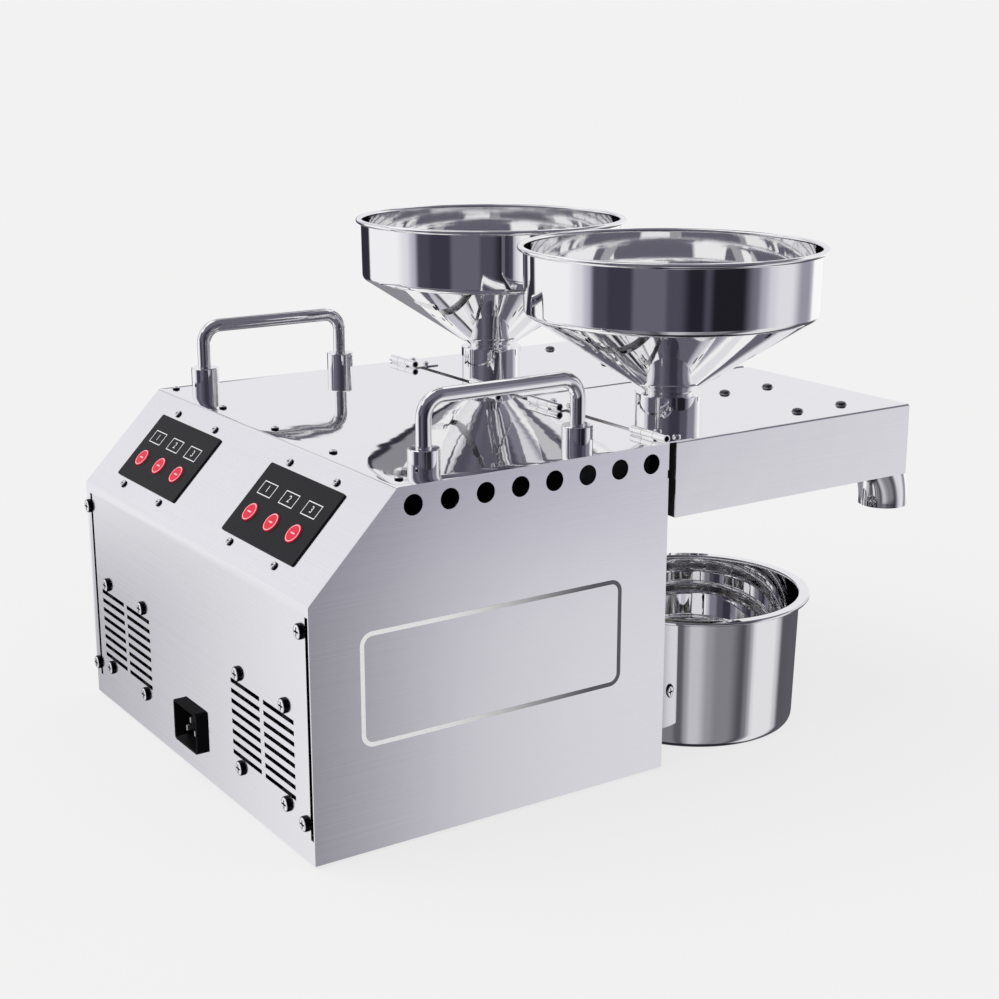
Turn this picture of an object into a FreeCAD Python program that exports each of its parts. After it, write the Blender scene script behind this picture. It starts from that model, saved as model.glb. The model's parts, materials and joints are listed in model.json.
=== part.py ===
import FreeCAD, Part
import math
import os
from FreeCAD import Placement
from FreeCAD import Rotation
from FreeCAD import Vector

# Twin-head screw oil press, in millimetres.
# While it is drawn, x = 0 is the middle of the case, y = 0 its front face and z = 0 the table.
# Every piece is moved along y when it is saved, so that the origin ends under the middle of the machine.

RIGHT = 1
LEFT = -1
SIDES = (RIGHT, LEFT)

# Case of folded steel sheet
case_width = 390.0
case_depth = 295.2
case_height = 252.0
front_height = 182.0
slope_run = 68.0
sheet = 1.2
skirt_gap = 2.0
fold_width = 18.0
top_fold_width = 10.0
front_top_fold = 25.0
rear_top_fold = 20.0
tray_height = 14.0

# Feet
foot_radius = 10.0
foot_top_radius = 8.5
foot_height = 8.0
foot_inset = 30.0
foot_stem_radius = 3.0
foot_barb_radius = 4.5
foot_barb_height = 1.8

# Slits and dome-headed screws in the front, beside the side panels' folds
slit_width = 4.0
slit_height = 157.0
slit_bottom = 19.5
slit_relief = 0.4
right_slit_inset = 3.2
left_slit_inset = 10.4
slit_inset = {RIGHT: right_slit_inset, LEFT: left_slit_inset}
right_fold_screw_inset = 12.0
left_fold_screw_inset = 5.7
fold_screw_inset = {RIGHT: right_fold_screw_inset, LEFT: left_fold_screw_inset}
fold_screw_rise = 29.0
fold_screw_pitch = 136.0
rear_screw_inset = 12.0
rear_screw_rise = 33.0
rear_screw_pitch = 92.0
rear_screw_count = 3
case_screw_head_radius = 5.6
case_screw_head_height = 3.0
case_screw_radius = 2.0
case_screw_length = 8.0
screw_clearance = 0.2
screw_edge_share = 0.7
recess_reach_share = 0.55
recess_width_share = 0.12
recess_depth_share = 0.5
nut_flats_per_radius = 3.5

# Small pan-headed screws of the top, the keypads and the hinges
small_head_radius = 3.0
small_head_height = 2.0
small_screw_radius = 1.5
small_screw_length = 6.0
top_screw_set_back = 11.7
top_screw_count = 5
right_top_screw_inset = 18.4
left_top_screw_inset = 8.4
top_screw_inset = {RIGHT: right_top_screw_inset, LEFT: left_top_screw_inset}

# Fans and the slotted vents in front of them
fan_size = 80.0
fan_depth = 25.0
fan_hole_pitch = 71.5
fan_bore_radius = 38.5
fan_hub_radius = 18.0
fan_tip_gap = 1.0
fan_blades = 7
fan_blade_chord = 20.0
fan_blade_thickness = 1.6
fan_blade_pitch = 38.0
fan_pin_radius = 1.5
fan_back_thickness = 3.0
fan_strut_width = 4.0
fan_rotor_set_back = 4.0
fan_cap_thickness = 3.0
fan_end_gap = 0.8
fan_pin_gap = 0.3
vent_inset = 72.9
vent_shift = -1.25
vent_centre_z = 69.1
vent_slots = 8
vent_slot_pitch = 7.8
vent_slot_height = 3.4
vent_slot_length = 45.8
vent_column_gap = 5.7

# Mains inlet
inlet_x = 9.7
inlet_z = 41.0
inlet_width = 41.0
inlet_height = 32.2
inlet_proud = 9.8
inlet_wall = 2.0
inlet_body_wall = 1.5
inlet_body_depth = 18.0
inlet_corner = 3.0
inlet_pin_width = 2.0
inlet_pin_height = 4.0
inlet_pin_spacing = 14.0
inlet_pin_offset = 8.5
inlet_pin_set_back = 4.3
inlet_tab_length = 6.0

# Round vent holes high in the side panels
side_hole_radius = 7.35
side_hole_count = 8
side_hole_pitch = 28.5
side_hole_first = 79.6
side_hole_drop = 13.5
rear_notch_depth = 1.6
rear_notch_height = 6.0
rear_notch_drop = 23.0
rear_vent_radius = 3.0
rear_vent_pitch = 14.0
rear_vent_columns = 6
rear_vent_rows = 4
rear_vent_z = 96.0

# Carrying handles of bent bar
handle_bar_radius = 5.5
handle_height = 56.3
handle_pitch = 128.0
handle_front = 104.2
handle_bend = 14.5
right_handle_inset = 26.7
left_handle_inset = 13.0
handle_inset = {RIGHT: right_handle_inset, LEFT: left_handle_inset}
handle_stud_radius = 4.0
handle_stud_length = 9.0
handle_nut_flats = 13.0
handle_nut_height = 6.0
handle_washer_radius = 9.0
sleeve_radius = 11.3
sleeve_height = 16.6
sleeve_clearance = 0.2
sleeve_chamfer = 0.8

# Keypads on the slope; s runs up the slope from its lower edge
keypad_width = 109.5
keypad_height = 60.0
keypad_thickness = 1.2
keypad_corner = 2.0
keypad_shift = -2.85
button_drop = 9.9
button_pitch = 33.2
button_shift = -1.6
button_names = ("first", "second", "third")
button_radius = 7.4
button_gap = 0.35
button_proud = 1.0
button_dome = 0.6
button_flange_radius = 8.6
button_flange_thickness = 0.8
button_stem_radius = 2.5
button_travel = 1.0
button_stem_gap = 0.2
keypad_screw_pitch_x = 69.3
keypad_screw_pitch_s = 70.6
window_margin = 1.5
board_depth = 12.0
board_thickness = 1.6
board_margin = 6.0
standoff_radius = 3.2
switch_size = 6.0
switch_height = 3.2
switch_plunger_radius = 1.75
switch_plunger_height = 1.0
chip_size = (24.0, 9.0, 3.0)
chip_rise = 15.0
plug_size = (12.0, 7.0, 6.0)
plug_shift = 26.0

# Press heads behind the case
head_inset = 71.3
head_drop = 41.0
barrel_radius = 24.0
barrel_bore = 15.5
barrel_length = 218.8
barrel_flange_width = 68.0
barrel_flange_height = 60.0
barrel_flange_thickness = 8.0
barrel_shaft_clearance = 0.3
barrel_bolt_x = 26.0
barrel_bolt_z = 23.0
bolt_radius = 3.0
bolt_head_flats = 10.0
bolt_head_height = 4.0
bolt_depth = 10.0
throat_set_back = 56.7
throat_radius = 20.0
throat_bore = 15.0
throat_gap = 2.0
drip_slots = 7
drip_slot_width = 1.6
drip_slot_pitch = 6.0
drip_slot_length = 18.0
drip_set_back = 96.0
gutter_gap = 5.0
gutter_length = 58.0
gutter_wall = 1.2
gutter_spout_radius = 6.0
gutter_spout_drop = 8.0
heater_set_back = 166.0
heater_length = 40.0
heater_thickness = 4.0
heater_lug_width = 12.0
heater_lug_height = 7.0
heater_lug_inset = 4.0
heater_split = 2.0

# Auger, its shaft and the last gear stage
auger_clearance = 0.5
auger_pitch = 24.0
auger_core_start = 8.0
auger_core_end = 12.0
auger_tip_radius = 6.0
auger_flight_tip = 2.6
auger_flight_root = 5.0
auger_flight_sink = 1.5
auger_end_gap = 4.0
shaft_radius = 10.0
running_clearance = 0.05
gear_module = 2.5
drive_teeth = 24
pinion_teeth = 12
drive_gear_width = 20.0
pinion_width = 22.0
tooth_addendum = 0.8
tooth_dedendum = 1.05
tooth_backlash = 0.5
pressure_angle = 20.0
flank_steps = 4
pinion_shaft_radius = 6.0
gearbox_side = 4.0
gearbox_gap = 2.0
gearbox_wall = 12.0
gearbox_room = 34.0
gearbox_corner = 6.0
bearing_width = 9.0
bearing_thickness = 6.0
bearing_end_gap = 1.5
shaft_end_gap = 0.5
motor_radius = 40.0
motor_length = 134.0
motor_head_length = 28.0
motor_head_radius = 34.0
motor_cap_length = 12.0
motor_cap_radius = 36.0
motor_shaft_depth = 12.0
cradle_width = 64.0
cradle_thickness = 6.0
cradle_height = 22.0
cradle_gap = 0.2
cradle_shares = (0.15, 0.85)

# Boards on the floor of the case
power_board_width = 96.0
power_board_length = 130.0
power_board_y = 60.0
power_board_rise = 8.0
transformer = (12.0, 14.0, 40.0, 36.0, 32.0)
relay = (14.0, 62.0, 19.0, 16.0, 16.0)
relay_pitch = 22.0
relay_count = 2
terminal = (12.0, 112.0, 20.0, 10.0, 10.0)
terminal_pitch = 25.0
terminal_count = 3
capacitor_radius = 9.0
capacitor_height = 30.0
capacitor_place = (76.0, 24.0)
capacitor_pitch = 22.0
capacitor_count = 2
heat_sink = (62.0, 62.0, 24.0, 42.0, 4.0)
fin_thickness = 2.0
fin_height = 24.0
fin_count = 5

# Hinged covers over the heads
cover_gap = 6.8
cover_length = 240.0
cover_height = 57.0
cover_wall = 1.0
cover_split = 4.0
cover_corner = 1.5
cover_hole_radius = 17.0
cover_slot_gap = 1.6
cover_screw_x = 43.0
cover_screw_y = 23.4
cover_screw_set_back = 168.0
cover_dome_radius = 4.2
cover_dome_height = 2.6
shield_width = 104.0
shield_length = 64.0
shield_thickness = 0.8
shield_drop = 7.0
shield_screw_spare = 2.0

# Cover hinges
hinge_length = 40.0
hinge_inner_x = 23.0
hinge_tube_radius = 3.0
hinge_pin_radius = 2.1
hinge_pin_recess = 2.5
hinge_set_forward = 2.7
hinge_rise = 3.3
hinge_middle = 13.0
hinge_knuckle_gap = 0.3
hinge_foot_width = 3.0
leaf_thickness = 1.0
leaf_reach = 14.0
leaf_screw_inset = 9.0
leaf_screw_set_back = 7.0

# Collars and hoppers
collar_radius = 26.0
collar_height = 19.5
collar_bore = 18.0
collar_chamfer = 1.0
hopper_wall = 1.0
hopper_neck_radius = 17.5
hopper_neck_length = 17.5
hopper_seat_gap = 0.3
hopper_cone_height = 61.7
hopper_low_radius = 112.1
hopper_top_radius = 112.7
hopper_wall_height = 48.5
hopper_bead_radius = 2.4
hopper_rim_radius = 117.1

# Oil bowls
bowl_x = 113.7
bowl_gap = 1.0
bowl_height = 107.0
bowl_low_radius = 83.0
bowl_top_radius = 85.8
bowl_rim_radius = 93.8
bowl_wall = 1.0
bowl_corner = 7.0
bowl_lip = 1.4
bowl_lip_round = 0.6

# Cake outlets, bent tube
elbow_radius = 20.4
elbow_wall = 1.2
elbow_bend = 60.0
elbow_lead = 10.0
elbow_tail = 4.0
elbow_flange_radius = 27.0
elbow_flange_thickness = 5.0

# Places worked out from the sizes above
half_width = case_width / 2
top_z = skirt_gap + case_height
slope_z0 = skirt_gap + front_height
slope_rise = top_z - slope_z0
slope_angle = math.atan2(slope_rise, slope_run)
slope_length = math.hypot(slope_run, slope_rise)
keypad_s = slope_length / 2
button_s = keypad_s - button_drop
inner_x = half_width - sheet
head_x = half_width - head_inset
head_z = top_z - head_drop
cover_front = case_depth + cover_gap
cover_back = cover_front + cover_length
cover_bottom = top_z - cover_height
flange_back = case_depth + barrel_flange_thickness
throat_y = case_depth + throat_set_back
barrel_end = flange_back + barrel_length
elbow_start = barrel_end + elbow_lead
elbow_outlet_y = elbow_start + elbow_bend
elbow_back = elbow_outlet_y + elbow_radius
auger_radius = barrel_bore - auger_clearance
drive_radius = gear_module * drive_teeth / 2
pinion_radius = gear_module * pinion_teeth / 2
pinion_z = head_z - drive_radius - pinion_radius
panel_inside = case_depth - sheet
tub_front = panel_inside - gearbox_wall - gearbox_room
lid_front = tub_front - gearbox_wall
motor_front = lid_front - motor_length
motor_floor = foot_height + sheet
hinge_y = case_depth - hinge_set_forward
hinge_z = top_z + hinge_rise
middle_y = (elbow_back - inlet_proud) / 2
through = 1.0

nodes = {}


# Helpers
def box(x0, x1, y0, y1, z0, z1):
    return Part.makeBox(x1 - x0, y1 - y0, z1 - z0, Vector(x0, y0, z0))


def rod(radius, start, end):
    start = Vector(*start)
    axis = Vector(*end).sub(start)
    return Part.makeCylinder(radius, axis.Length, start, axis)


def pipe(outer, inner, start, end):
    return rod(outer, start, end).cut(rod(inner, start, end))


def prism_x(points, x0, x1):
    corners = [Vector(x0, y, z) for y, z in points]
    face = Part.Face(Part.makePolygon(corners + corners[:1]))
    return face.extrude(Vector(x1 - x0, 0, 0))


def turned(points):
    corners = [Vector(radius, 0, z) for radius, z in points]
    face = Part.Face(Part.makePolygon(corners + corners[:1]))
    return face.revolve(Vector(0, 0, 0), Vector(0, 0, 1), 360)


def aimed(shape, origin, direction):
    placed = shape.copy()
    placed.Placement = Placement(Vector(*origin), Rotation(Vector(0, 0, 1), Vector(*direction)))
    return placed


def moved(shape, x=0.0, y=0.0, z=0.0):
    placed = shape.copy()
    placed.translate(Vector(x, y, z))
    return placed


def mirrored(shape):
    return shape.mirror(Vector(0, 0, 0), Vector(1, 0, 0))


def for_side(shape, side):
    return shape if side == RIGHT else mirrored(shape)


def on_slope(shape):
    # A shape drawn with x across, y up the slope and z out of it is laid on the slope's outer face.
    placed = shape.copy()
    slope = Placement(Vector(0, 0, slope_z0), Rotation(Vector(1, 0, 0), math.degrees(slope_angle)))
    placed.Placement = slope.multiply(placed.Placement)
    return placed


def slope_y(z, depth):
    return ((z - slope_z0) * math.cos(slope_angle) + depth) / math.sin(slope_angle)


def slope_z(y, depth):
    return slope_z0 + (y * math.sin(slope_angle) - depth) / math.cos(slope_angle)


def rounded(shape, radius, chosen):
    return shape.makeFillet(radius, [edge for edge in shape.Edges if chosen(edge)])


def runs_along(edge, axis):
    ends = [vertex.Point for vertex in edge.Vertexes]
    if len(ends) < 2:
        return False
    return abs(abs(ends[1].sub(ends[0]).normalize().dot(axis)) - 1) < 1e-6


def hexagon(flats, height):
    corner = flats / math.sqrt(3)
    turns = [math.radians(60 * step) for step in range(7)]
    ring = [Vector(corner * math.cos(turn), corner * math.sin(turn), 0) for turn in turns]
    return Part.Face(Part.makePolygon(ring)).extrude(Vector(0, 0, height))


def screw(head_radius, head_height, radius, length):
    # The seat is at z = 0, the head above it and the shank below.
    head = Part.makeCylinder(head_radius, head_height)
    top_rim = [edge for edge in head.Edges if edge.CenterOfMass.z > 0.99 * head_height]
    head = head.makeFillet(screw_edge_share * head_height, top_rim)
    reach = recess_reach_share * head_radius
    width = recess_width_share * head_radius
    bar = box(-reach, reach, -width, width, (1 - recess_depth_share) * head_height, head_height + through)
    cross = bar.copy()
    cross.rotate(Vector(0, 0, 0), Vector(0, 0, 1), 90)
    shank = Part.makeCylinder(radius, length, Vector(0, 0, -length))
    return head.cut([bar, cross]).fuse(shank).removeSplitter()


def swept(edges, radius):
    path = Part.Wire(edges)
    start = path.OrderedVertexes[0].Point
    direction = edges[0].tangentAt(edges[0].FirstParameter)
    ring = Part.Wire(Part.makeCircle(radius, start, direction))
    return path.makePipeShell([ring], True, False)


def keep(node, solids):
    nodes[node] = [solid for shape in solids for solid in shape.Solids]


def side_name(side):
    return "right" if side == RIGHT else "left"


# Places that several pieces share
def fan_x(side):
    return side * (half_width - vent_inset) + vent_shift


def slit_x(side):
    return side * (half_width - slit_inset[side])


def fold_screw_places(side):
    x = side * (half_width - fold_screw_inset[side])
    return [(x, fold_screw_rise + step * fold_screw_pitch) for step in range(2)]


def rear_screw_places(side):
    x = side * (half_width - rear_screw_inset)
    return [(x, rear_screw_rise + step * rear_screw_pitch) for step in range(rear_screw_count)]


def fan_screw_places(side):
    reach = fan_hole_pitch / 2
    return [(fan_x(side) + dx * reach, vent_centre_z + dz * reach) for dx in (-1, 1) for dz in (-1, 1)]


def handle_x(side):
    return side * (half_width - handle_inset[side])


def handle_legs():
    return (handle_front, handle_front + handle_pitch)


def top_screw_places():
    left = top_screw_inset[LEFT] - half_width
    right = half_width - top_screw_inset[RIGHT]
    pitch = (right - left) / (top_screw_count - 1)
    return [(left + step * pitch, slope_run + top_screw_set_back) for step in range(top_screw_count)]


def keypad_x(side):
    return side * case_width / 4 + keypad_shift


def button_places(side):
    middle = keypad_x(side) + button_shift
    return [middle + step * button_pitch for step in (-1, 0, 1)]


def keypad_screw_places(side):
    half = keypad_screw_pitch_x / 2
    rise = keypad_screw_pitch_s / 2
    return [(keypad_x(side) + dx * half, keypad_s + ds * rise) for dx in (-1, 1) for ds in (-1, 1)]


def cover_screw_places():
    middle = case_depth + cover_screw_set_back + cover_gap
    return [(head_x + dx * cover_screw_x, middle + dy * cover_screw_y) for dx in (-1, 1) for dy in (-1, 1)]


def hinge_starts():
    return (hinge_inner_x, half_width - hinge_length)


def barrel_bolt_places():
    return [(dx * barrel_bolt_x, head_z + dz * barrel_bolt_z) for dx in (-1, 1) for dz in (-1, 1)]


def foot_places():
    rows = (foot_inset, case_depth - foot_inset)
    return [(side * (half_width - foot_inset), y) for side in SIDES for y in rows]


# Case: one bent front sheet, two folded sides, a rear panel, a top and a tray floor
def front_shell():
    flange_end = slope_run + front_top_fold
    low = top_z - 2 * sheet
    high = top_z - sheet
    profile = [
        (0, skirt_gap),
        (0, slope_z0),
        (slope_y(high, 0), high),
        (flange_end, high),
        (flange_end, low),
        (slope_y(low, sheet), low),
        (sheet, slope_z(sheet, sheet)),
        (sheet, skirt_gap),
    ]
    shell = prism_x(profile, -half_width, half_width)
    corner = [
        (slope_y(low - sheet, sheet), low - sheet),
        (slope_y(high, sheet), high),
        (flange_end + through, high),
        (flange_end + through, low - sheet),
    ]
    cuts = []
    for side in SIDES:
        cuts.append(prism_x(corner, *sorted((side * inner_x, side * (half_width + through)))))
        cuts.append(box(slit_x(side) - slit_width / 2, slit_x(side) + slit_width / 2,
                        -through, sheet + through, slit_bottom, slit_bottom + slit_height))
        for x, z in fold_screw_places(side) + fan_screw_places(side):
            cuts.append(rod(case_screw_radius + screw_clearance, (x, -through, z), (x, sheet + through, z)))
        cuts += vent_slot_cuts(side)
        cuts.append(on_slope(keypad_window(side)))
        for x, s in keypad_screw_places(side):
            hole = rod(small_screw_radius + screw_clearance, (x, s, -sheet - through), (x, s, through))
            cuts.append(on_slope(hole))
    body = inlet_body_size()
    gap = screw_clearance
    cuts.append(box(inlet_x - body[0] / 2 - gap, inlet_x + body[0] / 2 + gap, -through, sheet + through,
                    inlet_z - body[1] / 2 - gap, inlet_z + body[1] / 2 + gap))
    cuts += top_screw_holes()
    return shell.cut(cuts)


def vent_slot_cuts(side):
    cuts = []
    half = vent_slot_height / 2
    reach = vent_slot_length / 2
    for column in (-1, 1):
        middle = fan_x(side) + column * (vent_slot_length + vent_column_gap) / 2
        for row in range(vent_slots):
            z = vent_centre_z + (row - (vent_slots - 1) / 2) * vent_slot_pitch
            cuts.append(box(middle - reach, middle + reach, -through, sheet + through, z - half, z + half))
    return cuts


def keypad_window(side):
    places = button_places(side)
    reach = button_flange_radius + window_margin
    return box(places[0] - reach, places[-1] + reach, button_s - reach, button_s + reach,
               -sheet - through, through)


def top_screw_holes():
    radius = small_screw_radius + screw_clearance
    return [rod(radius, (x, y, top_z - 3 * sheet), (x, y, top_z + through)) for x, y in top_screw_places()]


def side_panel(side):
    high = top_z - sheet
    profile = [
        (sheet, skirt_gap),
        (sheet, slope_z(sheet, sheet)),
        (slope_y(high, sheet), high),
        (case_depth, high),
        (case_depth, skirt_gap),
    ]
    wall = prism_x(profile, *sorted((side * inner_x, side * half_width)))
    fold = sorted((side * inner_x, side * (inner_x - fold_width)))
    top_fold = sorted((side * inner_x, side * (inner_x - top_fold_width)))
    low_end = skirt_gap + sheet
    front_fold = box(*fold, sheet, 2 * sheet, low_end, slope_z0 - 3 * sheet)
    rear_fold = box(*fold, case_depth - 2 * sheet, case_depth - sheet, low_end, top_z - 3 * sheet)
    fold_start = slope_run + front_top_fold + sheet
    fold_end = case_depth - sheet - rear_top_fold - sheet
    upper_fold = box(*top_fold, fold_start, fold_end, high - sheet, high)
    panel = wall.fuse([front_fold, rear_fold, upper_fold]).removeSplitter()
    cuts = []
    for step in range(side_hole_count):
        y = side_hole_first + step * side_hole_pitch
        z = top_z - side_hole_drop
        cuts.append(rod(side_hole_radius, (side * (inner_x - through), y, z),
                        (side * (half_width + through), y, z)))
    slit_edges = sorted((slit_x(side) - slit_width / 2, slit_x(side) + slit_width / 2))
    cuts.append(box(max(slit_edges[0] - slit_relief, -inner_x), min(slit_edges[1] + slit_relief, inner_x),
                    sheet - through, 2 * sheet + through, slit_bottom, slit_bottom + slit_height))
    for x, z in fold_screw_places(side):
        cuts.append(rod(case_screw_radius + screw_clearance, (x, sheet, z), (x, 3 * sheet, z)))
    for x, z in rear_screw_places(side):
        cuts.append(rod(case_screw_radius + screw_clearance, (x, case_depth - 3 * sheet, z),
                        (x, case_depth - sheet, z)))
    washer_room = handle_washer_radius + through
    for y in handle_legs():
        cuts.append(rod(washer_room, (handle_x(side), y, high - 2 * sheet), (handle_x(side), y, high)))
    notch = top_z - rear_notch_drop
    edge = sorted((side * inner_x, side * (half_width + through)))
    cuts.append(box(*edge, case_depth - rear_notch_depth, case_depth + through,
                    notch - rear_notch_height / 2, notch + rear_notch_height / 2))
    return panel.cut(cuts)


def rear_panel():
    high = top_z - sheet
    wall = box(-inner_x, inner_x, panel_inside, case_depth, skirt_gap, high)
    fold = box(-inner_x, inner_x, panel_inside - rear_top_fold, panel_inside, high - sheet, high)
    cuts = []
    for side in SIDES:
        for x, z in rear_screw_places(side):
            cuts.append(rod(case_screw_radius + screw_clearance, (x, panel_inside - through, z),
                            (x, case_depth + through, z)))
        cuts.append(rod(shaft_radius + bearing_thickness / 2, (side * head_x, panel_inside - through, head_z),
                        (side * head_x, case_depth + through, head_z)))
        for dx, z in barrel_bolt_places():
            x = side * head_x + dx
            cuts.append(rod(bolt_radius + screw_clearance, (x, panel_inside - through, z),
                            (x, case_depth + through, z)))
    for column in range(rear_vent_columns):
        x = (column - (rear_vent_columns - 1) / 2) * rear_vent_pitch
        for row in range(rear_vent_rows):
            z = rear_vent_z + (row - (rear_vent_rows - 1) / 2) * rear_vent_pitch
            cuts.append(rod(rear_vent_radius, (x, panel_inside - through, z), (x, case_depth + through, z)))
    return wall.fuse(fold).removeSplitter().cut(cuts)


def top_panel():
    low = top_z - sheet
    profile = [
        (slope_y(low, 0), low),
        (slope_run, top_z),
        (case_depth, top_z),
        (case_depth, low),
    ]
    panel = prism_x(profile, -half_width, half_width)
    radius = handle_stud_radius + screw_clearance
    cuts = top_screw_holes()
    for side in SIDES:
        for y in handle_legs():
            x = handle_x(side)
            cuts.append(rod(radius, (x, y, low - through), (x, y, top_z + through)))
    return panel.cut(cuts)


def base_plate():
    front = 2 * sheet
    back = case_depth - 2 * sheet
    floor = foot_height
    tray = box(-inner_x, inner_x, front, back, floor, floor + tray_height)
    room = box(-inner_x + sheet, inner_x - sheet, front + sheet, back - sheet, floor + sheet,
               floor + tray_height + through)
    holes = [rod(foot_stem_radius + screw_clearance, (x, y, floor - through), (x, y, floor + 2 * sheet))
             for x, y in foot_places()]
    return tray.cut([room] + holes)


def foot(x, y):
    top = foot_height
    barb = top + sheet
    profile = [
        (0, 0),
        (foot_radius, 0),
        (foot_top_radius, top),
        (foot_stem_radius, top),
        (foot_stem_radius, barb),
        (foot_barb_radius, barb),
        (foot_stem_radius, barb + foot_barb_height),
        (0, barb + foot_barb_height),
    ]
    return moved(turned(profile), x, y)


# Fasteners
def case_screws():
    pattern = screw(case_screw_head_radius, case_screw_head_height, case_screw_radius, case_screw_length)
    screws = []
    for side in SIDES:
        screws += [aimed(pattern, (x, 0, z), (0, -1, 0)) for x, z in fold_screw_places(side)]
        screws += [aimed(pattern, (x, case_depth, z), (0, 1, 0)) for x, z in rear_screw_places(side)]
    return screws


def fan_screws():
    reach = sheet + fan_depth + case_screw_head_height + 2 * sheet
    pattern = screw(case_screw_head_radius, case_screw_head_height, case_screw_radius, reach)
    nut = hexagon(nut_flats_per_radius * case_screw_radius, case_screw_head_height)
    nut = nut.cut(Part.makeCylinder(case_screw_radius, case_screw_head_height))
    pieces = []
    for side in SIDES:
        for x, z in fan_screw_places(side):
            pieces.append(aimed(pattern, (x, 0, z), (0, -1, 0)))
            pieces.append(aimed(nut, (x, sheet + fan_depth, z), (0, 1, 0)))
    return pieces


def panel_screws():
    pattern = screw(small_head_radius, small_head_height, small_screw_radius, small_screw_length)
    screws = [moved(pattern, x, y, top_z) for x, y in top_screw_places()]
    for side in SIDES:
        screws += [on_slope(moved(pattern, x, s)) for x, s in keypad_screw_places(side)]
    return screws


# Handles: bent round bar with a stud, nut and washer under the top, and a turned sleeve over each foot
def handle(side):
    x = handle_x(side)
    front, back = handle_legs()
    bar_z = top_z + handle_height - handle_bar_radius
    bend = handle_bend
    low = bar_z - bend
    corner = bend * (1 - math.cos(math.radians(45)))

    def point(y, z):
        return Vector(x, y, z)

    edges = [
        Part.LineSegment(point(front, top_z), point(front, low)).toShape(),
        Part.Arc(point(front, low), point(front + corner, bar_z - corner),
                 point(front + bend, bar_z)).toShape(),
        Part.LineSegment(point(front + bend, bar_z), point(back - bend, bar_z)).toShape(),
        Part.Arc(point(back - bend, bar_z), point(back - corner, bar_z - corner), point(back, low)).toShape(),
        Part.LineSegment(point(back, low), point(back, top_z)).toShape(),
    ]
    bar = swept(edges, handle_bar_radius)
    stud_low = top_z - handle_stud_length
    studs = [rod(handle_stud_radius, (x, y, stud_low), (x, y, top_z)) for y in (front, back)]
    pieces = [bar.fuse(studs).removeSplitter()]
    washer_top = top_z - sheet
    washer_low = washer_top - sheet
    nut = hexagon(handle_nut_flats, handle_nut_height)
    nut = nut.cut(Part.makeCylinder(handle_stud_radius, handle_nut_height))
    for y in (front, back):
        pieces.append(pipe(handle_washer_radius, handle_stud_radius, (x, y, washer_low), (x, y, washer_top)))
        pieces.append(moved(nut, x, y, washer_low - handle_nut_height))
    return pieces


def handle_sleeve(x, y):
    low = (x, y, top_z)
    high = (x, y, top_z + sleeve_height)
    ring = pipe(sleeve_radius, handle_bar_radius + sleeve_clearance, low, high)
    outer_rims = [edge for edge in ring.Edges if len(edge.Vertexes) == 1
                  and abs(edge.BoundBox.XLength / 2 - sleeve_radius) < 0.01]
    return ring.makeChamfer(sleeve_chamfer, outer_rims)


# Fans
def fan_frame(side):
    x = fan_x(side)
    half = fan_size / 2
    front = sheet
    back = sheet + fan_depth
    z = vent_centre_z
    block = box(x - half, x + half, front, back, z - half, z + half)
    block = rounded(block, (fan_size - fan_hole_pitch) / 2, lambda edge: runs_along(edge, Vector(0, 1, 0)))
    bore = rod(fan_bore_radius, (x, front - through, z), (x, back + through, z))
    holes = [rod(case_screw_radius + screw_clearance, (hx, front - through, hz), (hx, back + through, hz))
             for hx, hz in fan_screw_places(side)]
    frame = block.cut([bore] + holes)
    disc_front = back - fan_back_thickness
    disc = rod(fan_hub_radius, (x, disc_front, z), (x, back, z))
    pin_front = front + fan_rotor_set_back + fan_cap_thickness + fan_pin_gap
    pin = rod(fan_pin_radius, (x, pin_front, z), (x, disc_front, z))
    reach = fan_bore_radius + through
    strut = fan_strut_width / 2
    struts = [box(x - reach, x + reach, disc_front, back, z - strut, z + strut),
              box(x - strut, x + strut, disc_front, back, z - reach, z + reach)]
    return frame.fuse([disc, pin] + struts).removeSplitter()


def fan_rotor(side):
    x = fan_x(side)
    z = vent_centre_z
    front = sheet + fan_rotor_set_back
    back = sheet + fan_depth - fan_back_thickness - fan_end_gap
    tip = fan_bore_radius - fan_tip_gap
    hub = rod(fan_hub_radius, (x, front, z), (x, back, z))
    middle = (front + back) / 2
    blade = box(fan_hub_radius - fan_blade_thickness, tip + through,
                -fan_blade_chord / 2, fan_blade_chord / 2,
                -fan_blade_thickness / 2, fan_blade_thickness / 2)
    blade.rotate(Vector(0, 0, 0), Vector(1, 0, 0), 90 - fan_blade_pitch)
    blades = []
    for step in range(fan_blades):
        copy = blade.copy()
        copy.rotate(Vector(0, 0, 0), Vector(0, 1, 0), step * 360 / fan_blades)
        copy.translate(Vector(x, middle, z))
        blades.append(copy)
    sweep = rod(tip, (x, front, z), (x, back, z))
    rotor = hub.fuse(blades).common(sweep)
    bore = rod(fan_pin_radius + running_clearance, (x, front + fan_cap_thickness, z), (x, back + through, z))
    return rotor.removeSplitter().cut(bore)


# Mains inlet
def inlet_cavity_size():
    return (inlet_width - 2 * inlet_wall, inlet_height - 2 * inlet_wall)


def inlet_body_size():
    cavity = inlet_cavity_size()
    return (cavity[0] + 2 * inlet_body_wall, cavity[1] + 2 * inlet_body_wall)


def inlet_block(size, y0, y1):
    return box(inlet_x - size[0] / 2, inlet_x + size[0] / 2, y0, y1,
               inlet_z - size[1] / 2, inlet_z + size[1] / 2)


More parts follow.
